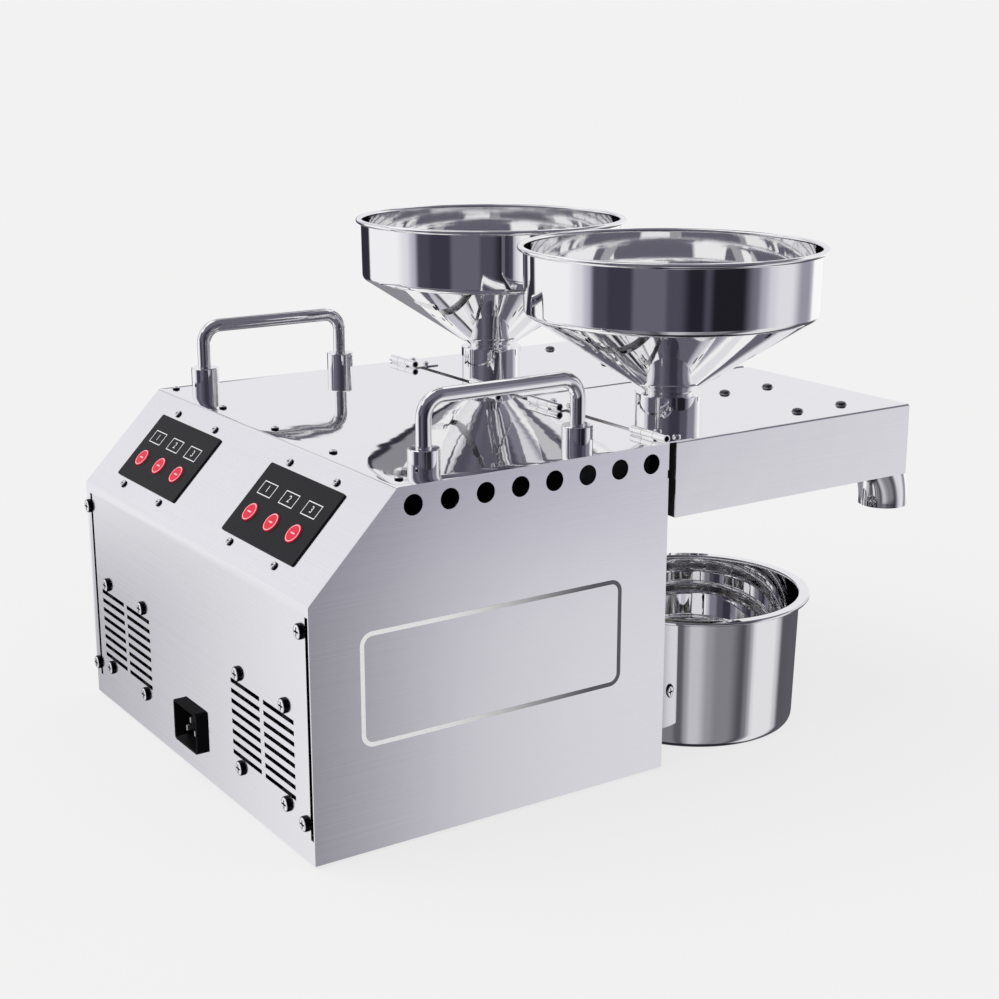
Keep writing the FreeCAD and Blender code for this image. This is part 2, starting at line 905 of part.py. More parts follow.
def inlet_pins():
    places = [(-inlet_pin_spacing / 2, -inlet_pin_offset / 2), (inlet_pin_spacing / 2, -inlet_pin_offset / 2),
              (0, inlet_pin_offset / 2)]
    pins = []
    for dx, dz in places:
        x = inlet_x + dx
        z = inlet_z + dz
        pins.append(box(x - inlet_pin_width / 2, x + inlet_pin_width / 2,
                        inlet_pin_set_back - inlet_proud, inlet_body_depth + inlet_tab_length,
                        z - inlet_pin_height / 2, z + inlet_pin_height / 2))
    return pins


def inlet_housing():
    hood = inlet_block((inlet_width, inlet_height), -inlet_proud, 0)
    hood = rounded(hood, inlet_corner, lambda edge: runs_along(edge, Vector(0, 1, 0)))
    body = inlet_block(inlet_body_size(), 0, inlet_body_depth)
    cavity = inlet_block(inlet_cavity_size(), -inlet_proud - through, inlet_body_depth - inlet_wall)
    return hood.fuse(body).removeSplitter().cut([cavity] + inlet_pins())


# Keypads, buttons and boards
def keypad(side):
    x = keypad_x(side)
    half_w = keypad_width / 2
    half_h = keypad_height / 2
    plate = box(x - half_w, x + half_w, keypad_s - half_h, keypad_s + half_h, 0, keypad_thickness)
    plate = rounded(plate, keypad_corner, lambda edge: runs_along(edge, Vector(0, 0, 1)))
    high = keypad_thickness + through
    holes = [rod(button_radius + button_gap, (bx, button_s, -through), (bx, button_s, high))
             for bx in button_places(side)]
    return on_slope(plate.cut(holes))


def button(x):
    top = keypad_thickness + button_proud
    flange_top = -button_gap
    flange_low = flange_top - button_flange_thickness
    cap = Part.makeCylinder(button_radius, top - flange_top, Vector(0, 0, flange_top))
    cap = rounded(cap, button_dome, lambda edge: edge.CenterOfMass.z > top - 0.01)
    flange = Part.makeCylinder(button_flange_radius, button_flange_thickness, Vector(0, 0, flange_low))
    plunger_top = -sheet - board_depth + switch_height + switch_plunger_height
    stem_low = plunger_top + button_travel + button_stem_gap
    stem = Part.makeCylinder(button_stem_radius, flange_low - stem_low, Vector(0, 0, stem_low))
    return on_slope(moved(cap.fuse([flange, stem]).removeSplitter(), x, button_s))


def control_board(side):
    top = -sheet - board_depth
    low = top - board_thickness
    places = keypad_screw_places(side)
    xs = [x for x, s in places]
    ss = [s for x, s in places]
    margin = board_margin
    board = box(min(xs) - margin, max(xs) + margin, min(ss) - margin, max(ss) + margin, low, top)
    parts = []
    for bx in button_places(side):
        half = switch_size / 2
        body = box(bx - half, bx + half, button_s - half, button_s + half, top, top + switch_height)
        plunger = rod(switch_plunger_radius, (bx, button_s, top),
                      (bx, button_s, top + switch_height + switch_plunger_height))
        parts += [body, plunger]
    for size, shift in ((chip_size, 0.0), (plug_size, plug_shift)):
        x = keypad_x(side) + shift
        s = button_s + chip_rise
        parts.append(box(x - size[0] / 2, x + size[0] / 2, s, s + size[1], top, top + size[2]))
    pieces = [on_slope(board.fuse(parts).removeSplitter())]
    bore = small_screw_radius + screw_clearance
    for x, s in places:
        pieces.append(on_slope(pipe(standoff_radius, bore, (x, s, top), (x, s, -sheet))))
    return pieces


def power_board():
    floor = foot_height + sheet
    low = floor + power_board_rise
    top = low + board_thickness
    half = power_board_width / 2
    y0 = power_board_y
    y1 = y0 + power_board_length
    board = box(-half, half, y0, y1, low, top)
    rows = (y0 + board_margin, y1 - board_margin)
    columns = (board_margin - half, half - board_margin)
    parts = [rod(standoff_radius, (x, y, floor), (x, y, low)) for x in columns for y in rows]

    def block(size, dx=0.0, dy=0.0):
        x, y, width, length, height = size
        x0 = x + dx - half
        start = y0 + y + dy
        return box(x0, x0 + width, start, start + length, top, top + height)

    parts += [block(transformer), block(heat_sink)]
    parts += [block(relay, dy=step * relay_pitch) for step in range(relay_count)]
    parts += [block(terminal, dx=step * terminal_pitch) for step in range(terminal_count)]
    for step in range(capacitor_count):
        x = -half + capacitor_place[0]
        y = y0 + capacitor_place[1] + step * capacitor_pitch
        parts.append(rod(capacitor_radius, (x, y, top), (x, y, top + capacitor_height)))
    x, y, width, length, height = heat_sink
    for step in range(fin_count):
        fin_x = -half + x + step * (width - fin_thickness) / (fin_count - 1)
        parts.append(box(fin_x, fin_x + fin_thickness, y0 + y, y0 + y + length,
                         top, top + height + fin_height))
    return board.fuse(parts).removeSplitter()


# Motors with their gear heads, on two cradles each
def motor():
    start = motor_front
    cap_end = start + motor_cap_length
    can_end = lid_front - motor_head_length

    def drum(radius, y0, y1):
        return rod(radius, (0, y0, pinion_z), (0, y1, pinion_z))

    body = drum(motor_cap_radius, start, cap_end)
    body = body.fuse([drum(motor_radius, cap_end, can_end), drum(motor_head_radius, can_end, lid_front)])
    shaft_hole = pinion_shaft_radius + running_clearance
    body = body.cut(drum(shaft_hole, lid_front - motor_shaft_depth, lid_front + through))
    pieces = [body]
    for share in cradle_shares:
        y = cap_end + share * (can_end - cap_end)
        half = cradle_thickness / 2
        plate = box(-cradle_width / 2, cradle_width / 2, y - half, y + half, motor_floor,
                    pinion_z - motor_radius + cradle_height)
        pieces.append(plate.cut(drum(motor_radius + cradle_gap, y - cradle_thickness, y + cradle_thickness)))
    return pieces


# Gear case behind each motor: a lid that carries the front bearings and a tub bolted to the rear panel
def tip_radius(teeth):
    return gear_module * (teeth / 2 + tooth_addendum)


def gearbox():
    side = tip_radius(drive_teeth) + gearbox_gap + gearbox_side
    high = head_z + side
    low = pinion_z - tip_radius(pinion_teeth) - gearbox_gap - gearbox_side

    def block(y0, y1):
        whole = box(-side, side, y0, y1, low, high)
        return rounded(whole, gearbox_corner, lambda edge: runs_along(edge, Vector(0, 1, 0)))

    inner = side - gearbox_side
    tub = block(tub_front, panel_inside)
    room = box(-inner, inner, tub_front - through, tub_front + gearbox_room,
               low + gearbox_side, high - gearbox_side)
    seat = shaft_radius + bearing_thickness
    tub_cuts = [room, rod(seat, (0, tub_front, head_z), (0, panel_inside + through, head_z))]
    for dx, z in barrel_bolt_places():
        tub_cuts.append(rod(bolt_radius + screw_clearance, (dx, panel_inside - bolt_depth, z),
                            (dx, panel_inside + through, z)))
    lid = block(lid_front, tub_front)
    pinion_seat = pinion_shaft_radius + bearing_thickness
    seat_start = tub_front - bearing_width - bearing_end_gap
    lid_cuts = [rod(seat, (0, seat_start, head_z), (0, tub_front + through, head_z)),
                rod(pinion_seat, (0, seat_start, pinion_z), (0, tub_front + through, pinion_z)),
                rod(pinion_shaft_radius + barrel_shaft_clearance, (0, lid_front - through, pinion_z),
                    (0, tub_front, pinion_z))]
    return [tub.cut(tub_cuts), lid.cut(lid_cuts)]


def bearings(side):
    x = side * head_x
    outer = shaft_radius + bearing_thickness
    inner = shaft_radius + running_clearance
    lid_seat = tub_front - bearing_width - bearing_end_gap
    tub_seat = panel_inside - bearing_width - bearing_end_gap
    rings = [pipe(outer, inner, (x, y, head_z), (x, y + bearing_width, head_z)) for y in (lid_seat, tub_seat)]
    rings.append(pipe(pinion_shaft_radius + bearing_thickness, pinion_shaft_radius + running_clearance,
                      (x, lid_seat, pinion_z), (x, lid_seat + bearing_width, pinion_z)))
    return rings


# Spur gears with involute teeth, drawn about the y axis
def involute(angle):
    return math.tan(angle) - angle


def gear(teeth, width, phase):
    pitch = gear_module * teeth / 2
    base = pitch * math.cos(math.radians(pressure_angle))
    tip = tip_radius(teeth)
    root = pitch - gear_module * tooth_dedendum
    half_tooth = math.pi / (2 * teeth) - tooth_backlash / (4 * pitch)
    at_pitch = involute(math.radians(pressure_angle))
    start = max(base, root)
    radii = [start + (tip - start) * step / flank_steps for step in range(flank_steps + 1)]
    flank = []
    for radius in radii:
        spread = half_tooth + at_pitch - involute(math.acos(base / radius))
        flank.append((radius, spread))
    if root < base:
        flank.insert(0, (root, flank[0][1]))
    points = []
    for tooth in range(teeth):
        middle = 2 * math.pi * tooth / teeth + phase
        for radius, spread in flank:
            points.append((radius, middle - spread))
        for radius, spread in reversed(flank):
            points.append((radius, middle + spread))
    corners = [Vector(radius * math.cos(turn), 0, radius * math.sin(turn)) for radius, turn in points]
    return Part.Face(Part.makePolygon(corners + corners[:1])).extrude(Vector(0, width, 0))


def gear_y(width):
    return tub_front + (gearbox_room - width) / 2


def drive_gear():
    blank = gear(drive_teeth, drive_gear_width, math.pi / 2)
    bore = rod(shaft_radius, (0, -through, 0), (0, drive_gear_width + through, 0))
    return moved(blank.cut(bore), 0, gear_y(drive_gear_width), head_z)


def motor_pinion():
    blank = gear(pinion_teeth, pinion_width, math.pi / 2 + math.pi / pinion_teeth)
    blank = moved(blank, 0, gear_y(pinion_width), pinion_z)
    start = lid_front - motor_shaft_depth + shaft_end_gap
    shaft = rod(pinion_shaft_radius, (0, start, pinion_z), (0, gear_y(pinion_width) + pinion_width, pinion_z))
    return blank.fuse(shaft).removeSplitter()


# Auger: shaft, tapering core and one helical flight
def auger():
    start = flange_back + shaft_end_gap
    end = barrel_end - auger_end_gap
    length = end - start
    core = Part.makeCone(auger_core_start, auger_core_end, length)
    inner = auger_core_start - auger_flight_sink
    helix = Part.makeHelix(auger_pitch, length - 2 * auger_flight_root, inner)
    root = auger_flight_root / 2
    tip = auger_flight_tip / 2
    profile = Part.makePolygon([Vector(inner, 0, -root), Vector(auger_radius, 0, -tip),
                                Vector(auger_radius, 0, tip), Vector(inner, 0, root), Vector(inner, 0, -root)])
    flight = Part.Wire(helix).makePipeShell([profile], True, True)
    flight = moved(flight, 0, 0, auger_flight_root)
    screw_part = core.fuse(flight)
    tip_cone = Part.makeCone(auger_core_end, auger_tip_radius, auger_end_gap, Vector(0, 0, length))
    screw_part = screw_part.fuse(tip_cone)
    shaft_start = tub_front - bearing_width - bearing_end_gap + shaft_end_gap
    shaft = Part.makeCylinder(shaft_radius, start - shaft_start, Vector(0, 0, shaft_start - start))
    whole = screw_part.fuse(shaft).removeSplitter()
    return aimed(whole, (0, start, head_z), (0, 1, 0))


# Press barrel with its mounting flange, feed throat and oil slots
def press_barrel():
    half_w = barrel_flange_width / 2
    half_h = barrel_flange_height / 2
    flange = box(-half_w, half_w, case_depth, flange_back, head_z - half_h, head_z + half_h)
    flange = rounded(flange, gearbox_corner, lambda edge: runs_along(edge, Vector(0, 1, 0)))
    tube_part = rod(barrel_radius, (0, flange_back, head_z), (0, barrel_end, head_z))
    throat_top = top_z - cover_wall - throat_gap
    throat = rod(throat_radius, (0, throat_y, head_z), (0, throat_y, throat_top))
    body = flange.fuse([tube_part, throat])
    cuts = [
        rod(barrel_bore, (0, flange_back, head_z), (0, barrel_end + through, head_z)),
        rod(shaft_radius + barrel_shaft_clearance, (0, case_depth - through, head_z),
            (0, flange_back + through, head_z)),
        rod(throat_bore, (0, throat_y, head_z), (0, throat_y, throat_top + through)),
    ]
    for step in range(drip_slots):
        y = case_depth + drip_set_back + (step - (drip_slots - 1) / 2) * drip_slot_pitch
        half = drip_slot_length / 2
        cuts.append(box(-half, half, y - drip_slot_width / 2, y + drip_slot_width / 2,
                        head_z - barrel_radius - through, head_z - barrel_bore / 2))
    for dx, z in barrel_bolt_places():
        cuts.append(rod(bolt_radius + screw_clearance, (dx, case_depth - through, z),
                        (dx, flange_back + through, z)))
    return body.cut(cuts)


def barrel_bolts():
    shank = barrel_flange_thickness + sheet + bolt_depth - screw_clearance
    bolt = hexagon(bolt_head_flats, bolt_head_height).fuse(
        Part.makeCylinder(bolt_radius, shank, Vector(0, 0, -shank))).removeSplitter()
    return [aimed(bolt, (side * head_x + dx, flange_back, z), (0, 1, 0))
            for side in SIDES for dx, z in barrel_bolt_places()]


def heater_band(side):
    x = side * head_x
    start = case_depth + heater_set_back - heater_length / 2
    outer = barrel_radius + heater_thickness
    band = rod(outer, (x, start, head_z), (x, start + heater_length, head_z))
    half = heater_lug_width / 2
    lug = box(x - half, x + half, start + heater_lug_inset, start + heater_length - heater_lug_inset,
              head_z - outer - heater_lug_height, head_z)
    hole = rod(barrel_radius, (x, start - through, head_z), (x, start + heater_length + through, head_z))
    split = box(x - heater_split / 2, x + heater_split / 2, start - through, start + heater_length + through,
                head_z - outer - heater_lug_height - through, head_z)
    return band.fuse(lug).removeSplitter().cut([hole, split])


def oil_gutter(side):
    x = side * head_x
    middle = case_depth + drip_set_back
    start = middle - gutter_length / 2
    end = middle + gutter_length / 2
    inner = barrel_radius + gutter_gap
    outer = inner + gutter_wall
    spout_low = head_z - outer - gutter_spout_drop
    trough = rod(outer, (x, start, head_z), (x, end, head_z))
    upper = box(x - outer - through, x + outer + through, start - through, end + through,
                head_z, head_z + outer + through)
    spout = rod(gutter_spout_radius, (x, middle, spout_low), (x, middle, head_z - inner))
    hollow = rod(inner, (x, start + gutter_wall, head_z), (x, end - gutter_wall, head_z))
    drain = rod(gutter_spout_radius - gutter_wall, (x, middle, spout_low - through), (x, middle, head_z))
    seat = rod(barrel_radius, (x, start - through, head_z), (x, end + through, head_z))
    return trough.cut(upper).fuse(spout).removeSplitter().cut([hollow, drain, seat])


# Cake outlet: a flange on the end of the barrel and a tube bent down through a quarter turn
def cake_elbow():
    bend = elbow_bend
    low = head_z - bend
    corner = math.sin(math.radians(45)) * bend

    def run(radius, start, tail):
        edges = [
            Part.LineSegment(Vector(0, start, head_z), Vector(0, elbow_start, head_z)).toShape(),
            Part.Arc(Vector(0, elbow_start, head_z), Vector(0, elbow_start + corner, low + corner),
                     Vector(0, elbow_outlet_y, low)).toShape(),
            Part.LineSegment(Vector(0, elbow_outlet_y, low), Vector(0, elbow_outlet_y, low - tail)).toShape(),
        ]
        return swept(edges, radius)

    outside = run(elbow_radius, barrel_end, elbow_tail)
    flange = rod(elbow_flange_radius, (0, barrel_end, head_z), (0, barrel_end + elbow_flange_thickness, head_z))
    inside = run(elbow_radius - elbow_wall, barrel_end - through, elbow_tail + through)
    return outside.fuse(flange).removeSplitter().cut(inside)


# Covers, each hinged on the case's top, with a heat shield above the heater band
def elbow_axis_z(y):
    along = max(0.0, y - elbow_start)
    return head_z - elbow_bend + math.sqrt(elbow_bend ** 2 - along ** 2)


def cover():
    x0 = cover_split / 2
    x1 = half_width
    outer = box(x0, x1, cover_front, cover_back, cover_bottom, top_z)

    def sharp(edge):
        middle = edge.CenterOfMass
        top_edge = abs(middle.z - top_z) < 0.01 and middle.y > cover_front + 0.01
        back_edge = abs(middle.y - cover_back) < 0.01 and runs_along(edge, Vector(0, 0, 1))
        return top_edge or back_edge

    outer = rounded(outer, cover_corner, sharp)
    room = box(x0 + cover_wall, x1 - cover_wall, cover_front - through, cover_back - cover_wall,
               cover_bottom - through, top_z - cover_wall)
    slot = elbow_radius + cover_slot_gap
    slot_z = elbow_axis_z(cover_back)
    cuts = [
        room,
        rod(cover_hole_radius, (head_x, throat_y, top_z - 2 * cover_wall), (head_x, throat_y, top_z + through)),
        rod(slot, (head_x, cover_back - 2 * cover_wall, slot_z), (head_x, cover_back + through, slot_z)),
        box(head_x - slot, head_x + slot, cover_back - 2 * cover_wall, cover_back + through,
            cover_bottom - through, slot_z),
    ]
    radius = small_screw_radius + screw_clearance
    for x, y in cover_screw_places() + leaf_screw_places():
        cuts.append(rod(radius, (x, y, top_z - 2 * cover_wall), (x, y, top_z + through)))
    return outer.cut(cuts)


def leaf_screw_places():
    y = cover_front + leaf_screw_set_back
    return [(start + x, y) for start in hinge_starts() for x in (leaf_screw_inset, hinge_length - leaf_screw_inset)]


def cover_hinges():
    pieces = []
    side_length = (hinge_length - hinge_middle) / 2 - hinge_knuckle_gap
    for start in hinge_starts():
        end = start + hinge_length
        gap0 = start + side_length
        gap1 = end - side_length
        leaf = box(start, end, hinge_y, cover_front + leaf_reach, top_z, top_z + leaf_thickness)
        notch = box(gap0, gap1, hinge_y - through, hinge_y + hinge_tube_radius + hinge_knuckle_gap,
                    top_z - through, top_z + leaf_thickness + through)
        knuckles = [rod(hinge_tube_radius, (x, hinge_y, hinge_z), (x + side_length, hinge_y, hinge_z))
                    for x in (start, gap1)]
        webs = [box(x, x + side_length, hinge_y, hinge_y + leaf_thickness, top_z, hinge_z) for x in (start, gap1)]
        body = leaf.cut(notch).fuse(knuckles + webs).removeSplitter()
        bore = rod(hinge_pin_radius + running_clearance, (start - through, hinge_y, hinge_z),
                   (end + through, hinge_y, hinge_z))
        radius = small_screw_radius + screw_clearance
        holes = [rod(radius, (x, y, top_z - through), (x, y, top_z + 2 * leaf_thickness))
                 for x, y in leaf_screw_places()]
        pieces.append(body.cut([bore] + holes))
    pattern = screw(small_head_radius, small_head_height, small_screw_radius, leaf_thickness + 3 * cover_wall)
    pieces += [moved(pattern, x, y, top_z + leaf_thickness) for x, y in leaf_screw_places()]
    return pieces


def case_hinge_knuckles():
    pieces = []
    side_length = (hinge_length - hinge_middle) / 2
    for start in hinge_starts():
        x0 = start + side_length
        x1 = x0 + hinge_middle
        knuckle = rod(hinge_tube_radius, (x0, hinge_y, hinge_z), (x1, hinge_y, hinge_z))
        half = hinge_foot_width / 2
        saddle = box(x0, x1, hinge_y - half, hinge_y + half, top_z, hinge_z)
        bore = rod(hinge_pin_radius, (x0 - through, hinge_y, hinge_z), (x1 + through, hinge_y, hinge_z))
        pieces.append(knuckle.fuse(saddle).removeSplitter().cut(bore))
    return pieces


def hinge_pins():
    short = hinge_length - 2 * hinge_pin_recess
    return [rod(hinge_pin_radius, (start + hinge_pin_recess, hinge_y, hinge_z),
                (start + hinge_pin_recess + short, hinge_y, hinge_z)) for start in hinge_starts()]


def heat_shield():
    middle = case_depth + cover_gap + cover_screw_set_back
    top = top_z - cover_wall - shield_drop
    half_w = shield_width / 2
    half_l = shield_length / 2
    plate = box(head_x - half_w, head_x + half_w, middle - half_l, middle + half_l, top - shield_thickness, top)
    radius = small_screw_radius + screw_clearance
    places = cover_screw_places()
    holes = [rod(radius, (x, y, top - 2 * shield_thickness), (x, y, top + through)) for x, y in places]
    pieces = [plate.cut(holes)]
    length = cover_wall + shield_drop + shield_screw_spare
    pattern = screw(cover_dome_radius, cover_dome_height, small_screw_radius, length)
    for x, y in places:
        pieces.append(pipe(standoff_radius, radius, (x, y, top), (x, y, top_z - cover_wall)))
        pieces.append(moved(pattern, x, y, top_z))
    return pieces


def collar():
    ring = pipe(collar_radius, collar_bore, (head_x, throat_y, top_z), (head_x, throat_y, top_z + collar_height))
    rims = [edge for edge in ring.Edges if len(edge.Vertexes) == 1 and edge.CenterOfMass.z > top_z + 1]
    outer_rims = [edge for edge in rims if edge.BoundBox.XLength > 2 * collar_bore + 1]
    return ring.makeChamfer(collar_chamfer, outer_rims)


# Hopper: neck, cone and shallow wall with a rolled rim, turned from one outline
def hopper():
    seat = top_z + collar_height + hopper_seat_gap
    neck_low = seat - hopper_neck_length
    cone_top = seat + hopper_cone_height
    rim = cone_top + hopper_wall_height
    slope = hopper_cone_height / (hopper_low_radius - hopper_neck_radius)
    lift = hopper_wall * math.sqrt(1 + slope ** 2)
    neck_in = hopper_neck_radius - hopper_wall
    low_in = hopper_low_radius - hopper_wall
    top_in = hopper_top_radius - hopper_wall
    profile = [
        (hopper_neck_radius, neck_low),
        (hopper_neck_radius, seat),
        (hopper_low_radius, cone_top),
        (hopper_top_radius, rim),
        (top_in, rim),
        (low_in, cone_top + lift - slope * hopper_wall),
        (neck_in, seat + lift - slope * hopper_wall),
        (neck_in, neck_low),
    ]
    ring = hopper_rim_radius - hopper_bead_radius
    bead = Part.makeTorus(ring, hopper_bead_radius, Vector(0, 0, rim))
    whole = turned(profile).fuse(bead).removeSplitter()
    return moved(whole, head_x, throat_y)


# Oil bowl: a drawn pot with a flat flared lip, standing free on the table
def bowl():
    outer = Part.makeCone(bowl_low_radius, bowl_top_radius, bowl_height)
    outer = rounded(outer, bowl_corner, lambda edge: edge.CenterOfMass.z < 0.01 and len(edge.Vertexes) == 1)
    lip = Part.makeCylinder(bowl_rim_radius, bowl_lip, Vector(0, 0, bowl_height - bowl_lip))
    lip = rounded(lip, bowl_lip_round, lambda edge: len(edge.Vertexes) == 1)
    inner = Part.makeCone(bowl_low_radius - bowl_wall, bowl_top_radius - bowl_wall, bowl_height,
                          Vector(0, 0, bowl_wall))
    inner = rounded(inner, bowl_corner - bowl_wall,
                    lambda edge: edge.CenterOfMass.z < bowl_wall + 0.01 and len(edge.Vertexes) == 1)
    whole = outer.fuse(lip).removeSplitter().cut(inner)
    return moved(whole, bowl_x, case_depth + bowl_gap + bowl_rim_radius)


# Gathering the pieces into their nodes
def build():
    keep("base_plate", [base_plate()])
    keep("front_shell", [front_shell()])
    keep("rear_panel", [rear_panel()])
    keep("top_panel", [top_panel()])
    keep("feet", [foot(x, y) for x, y in foot_places()])
    keep("case_screws", case_screws())
    keep("fan_screws", fan_screws())
    keep("panel_screws", panel_screws())
    keep("handle_sleeves", [handle_sleeve(handle_x(side), y) for side in SIDES for y in handle_legs()])
    keep("fan_frames", [fan_frame(side) for side in SIDES])
    keep("inlet_housing", [inlet_housing()])
    keep("inlet_pins", inlet_pins())
    keep("control_boards", [piece for side in SIDES for piece in control_board(side)])
    keep("power_board", [power_board()])
    keep("bearings", [ring for side in SIDES for ring in bearings(side)])
    keep("barrel_bolts", barrel_bolts())
    keep("heater_bands", [heater_band(side) for side in SIDES])
    keep("oil_gutters", [oil_gutter(side) for side in SIDES])
    keep("hinge_pins", [for_side(pin, side) for side in SIDES for pin in hinge_pins()])
    keep("case_hinge_knuckles", [for_side(part, side) for side in SIDES for part in case_hinge_knuckles()])
    across = {
        "motor": motor(),
        "gearbox": gearbox(),
        "press_barrel": [press_barrel()],
        "cake_elbow": [cake_elbow()],
        "auger": [auger()],
        "drive_gear": [drive_gear()],
        "motor_pinion": [motor_pinion()],
    }
    handed = {
        "cover": [cover()],
        "collar": [collar()],
        "cover_hinges": cover_hinges(),
        "heat_shield": heat_shield(),
        "hopper": [hopper()],
        "bowl": [bowl()],
    }
    for side in SIDES:
        name = side_name(side)
        keep(name + "_side_panel", [side_panel(side)])
        keep(name + "_handle", handle(side))
        keep(name + "_keypad", [keypad(side)])
        keep(name + "_fan", [fan_rotor(side)])
        for order, x in zip(button_names, button_places(side)):
            keep(name + "_" + order + "_button", [button(x)])
        for piece, solids in across.items():
            keep(name + "_" + piece, [moved(solid, side * head_x) for solid in solids])
        for piece, solids in handed.items():
            keep(name + "_" + piece, [for_side(solid, side) for solid in solids])


def save():
    os.makedirs("parts", exist_ok=True)
    for node, solids in nodes.items():
        placed = [moved(solid, 0, -middle_y) for solid in solids]
        shape = placed[0] if len(placed) == 1 else Part.makeCompound(placed)
        shape.exportStep("parts/" + node + ".step")


build()
save()
print(len(nodes), "nodes,", sum(len(solids) for solids in nodes.values()), "solids, middle at y", middle_y)
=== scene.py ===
# %% [markdown]
# # A twin-head oil press in brushed and polished steel
#
# The machine is a box of folded sheet with two press heads behind it, each under a hinged cover
# with a steel hopper on top. Its size, its joints and most of its pieces come from the packed
# model, which is the fixed frame of this scene. Here every surface gets its finish, and the pieces
# whose shape shows from close by are modelled again, finer, in the same places.
#
# We start by loading the frame. Each node comes with a material named after its slot, and each
# slot is noted before the finishes replace it.

# %% Load the frame
import json
import math

import bpy
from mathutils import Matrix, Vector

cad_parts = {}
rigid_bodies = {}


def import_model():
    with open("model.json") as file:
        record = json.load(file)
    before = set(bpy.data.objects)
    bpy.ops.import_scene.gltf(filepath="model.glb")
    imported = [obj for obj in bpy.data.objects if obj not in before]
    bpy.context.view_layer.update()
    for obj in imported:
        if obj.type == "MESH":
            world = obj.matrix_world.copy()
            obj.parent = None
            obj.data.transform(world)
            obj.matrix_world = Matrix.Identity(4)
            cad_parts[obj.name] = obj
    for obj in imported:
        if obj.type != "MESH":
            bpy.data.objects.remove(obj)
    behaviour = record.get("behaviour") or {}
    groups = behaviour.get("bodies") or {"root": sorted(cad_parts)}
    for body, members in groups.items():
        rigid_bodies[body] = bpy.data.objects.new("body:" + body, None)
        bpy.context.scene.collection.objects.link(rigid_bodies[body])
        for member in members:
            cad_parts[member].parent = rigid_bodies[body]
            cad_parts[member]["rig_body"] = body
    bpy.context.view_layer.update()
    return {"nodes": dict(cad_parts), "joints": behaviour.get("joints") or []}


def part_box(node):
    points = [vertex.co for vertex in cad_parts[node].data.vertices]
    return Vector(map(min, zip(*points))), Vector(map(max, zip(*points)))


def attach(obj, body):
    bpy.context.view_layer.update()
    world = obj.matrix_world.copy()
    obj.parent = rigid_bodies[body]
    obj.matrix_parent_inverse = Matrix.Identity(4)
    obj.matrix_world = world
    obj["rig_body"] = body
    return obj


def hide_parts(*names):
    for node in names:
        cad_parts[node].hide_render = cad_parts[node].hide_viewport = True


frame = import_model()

nodes = frame["nodes"]
slot_of = {name: piece.material_slots[0].material.name.split(".")[0] for name, piece in nodes.items()}

# %% [markdown]
# ## The camera
#
# The photograph looks at the machine's right front corner from a little above, with a long lens.
# A camera can be placed by a distance and two angles round a point, or by its own place and
# heading. Here its place and heading are given, because they were worked out from straight edges
# of the case that are known in the photograph.

# %% Place the camera
photo_azimuth = 56.22
photo_elevation = 15.05
camera_place = (1.1361, -0.7832, 0.5384)
camera_lens = 62.3

lens = bpy.data.cameras.new("photo_camera")
lens.lens = camera_lens
lens.sensor_width = 36.0
camera = bpy.data.objects.new("photo_camera", lens)
bpy.context.scene.collection.objects.link(camera)
camera.location = camera_place
camera.rotation_euler = (math.radians(90 - photo_elevation), 0, math.radians(photo_azimuth))
bpy.context.scene.camera = camera
print("camera at", camera_place)

# %% [markdown]
# ## The studio
#
# Polished steel has no colour of its own to speak of: it shows the room. On a product table that
# room is a set of white and black cards, and the soft vertical bands on the hoppers are those
# cards. They could be real planes with lights, but a room far away is simpler and the same for
# every piece, so the world itself holds them. Three colour ramps each run once round the horizon:
# one a little above eye level, one a little below it, where the hoppers look, and one lower
# still, where the case and the bowls look.

# %% Colours as they read on the screen
def screen(red, green, blue):
    """A colour written as it reads on the screen, 0 to 255, turned into light."""
    channels = []
    for value in (red, green, blue):
        share = value / 255
        channels.append(share / 12.92 if share <= 0.04045 else ((share + 0.055) / 1.055) ** 2.4)
    return (*channels, 1.0)


def grey(level, tint=1.0):
    """A grey with the faint blue that steel shows, strongest in its middle tones."""
    cool = tint * min(11, 0.16 * (255 - level), 0.19 * level)
    return screen(level, level - cool / 6, level + cool)


# %% Nodes for the world and the finishes
def node(tree, kind, **settings):
    """Adds a shader node, setting its options and the values of its named inputs."""
    made = tree.nodes.new(kind)
    for name, value in settings.items():
        if hasattr(made, name):
            setattr(made, name, value)
        else:
            made.inputs[name.replace("_", " ")].default_value = value
    return made


def wire(tree, source, target):
    tree.links.new(source, target)


def maths(tree, operation, first, second=None, clamp=False):
    """A Math node on one or two values, each a number or another node's output."""
    made = tree.nodes.new("ShaderNodeMath")
    made.operation = operation
    made.use_clamp = clamp
    for index, value in enumerate((first, second)):
        if value is None:
            continue
        if isinstance(value, (int, float)):
            made.inputs[index].default_value = value
        else:
            tree.links.new(value, made.inputs[index])
    return made.outputs[0]


def blend_colours(tree, factor, first, second):
    made = tree.nodes.new("ShaderNodeMix")
    made.data_type = "RGBA"
    for socket, value in ((made.inputs[0], factor), (made.inputs[6], first), (made.inputs[7], second)):
        if isinstance(value, (int, float, tuple)):
            socket.default_value = value
        else:
            tree.links.new(value, socket)
    return made.outputs[2]


def span(tree, value, low, high, to_low=0.0, to_high=1.0, smooth=False):
    """A Map Range node from low..high to to_low..to_high."""
    made = tree.nodes.new("ShaderNodeMapRange")
    made.interpolation_type = "SMOOTHSTEP" if smooth else "LINEAR"
    tree.links.new(value, made.inputs[0])
    for index, number in enumerate((low, high, to_low, to_high), start=1):
        made.inputs[index].default_value = number
    return made.outputs[0]


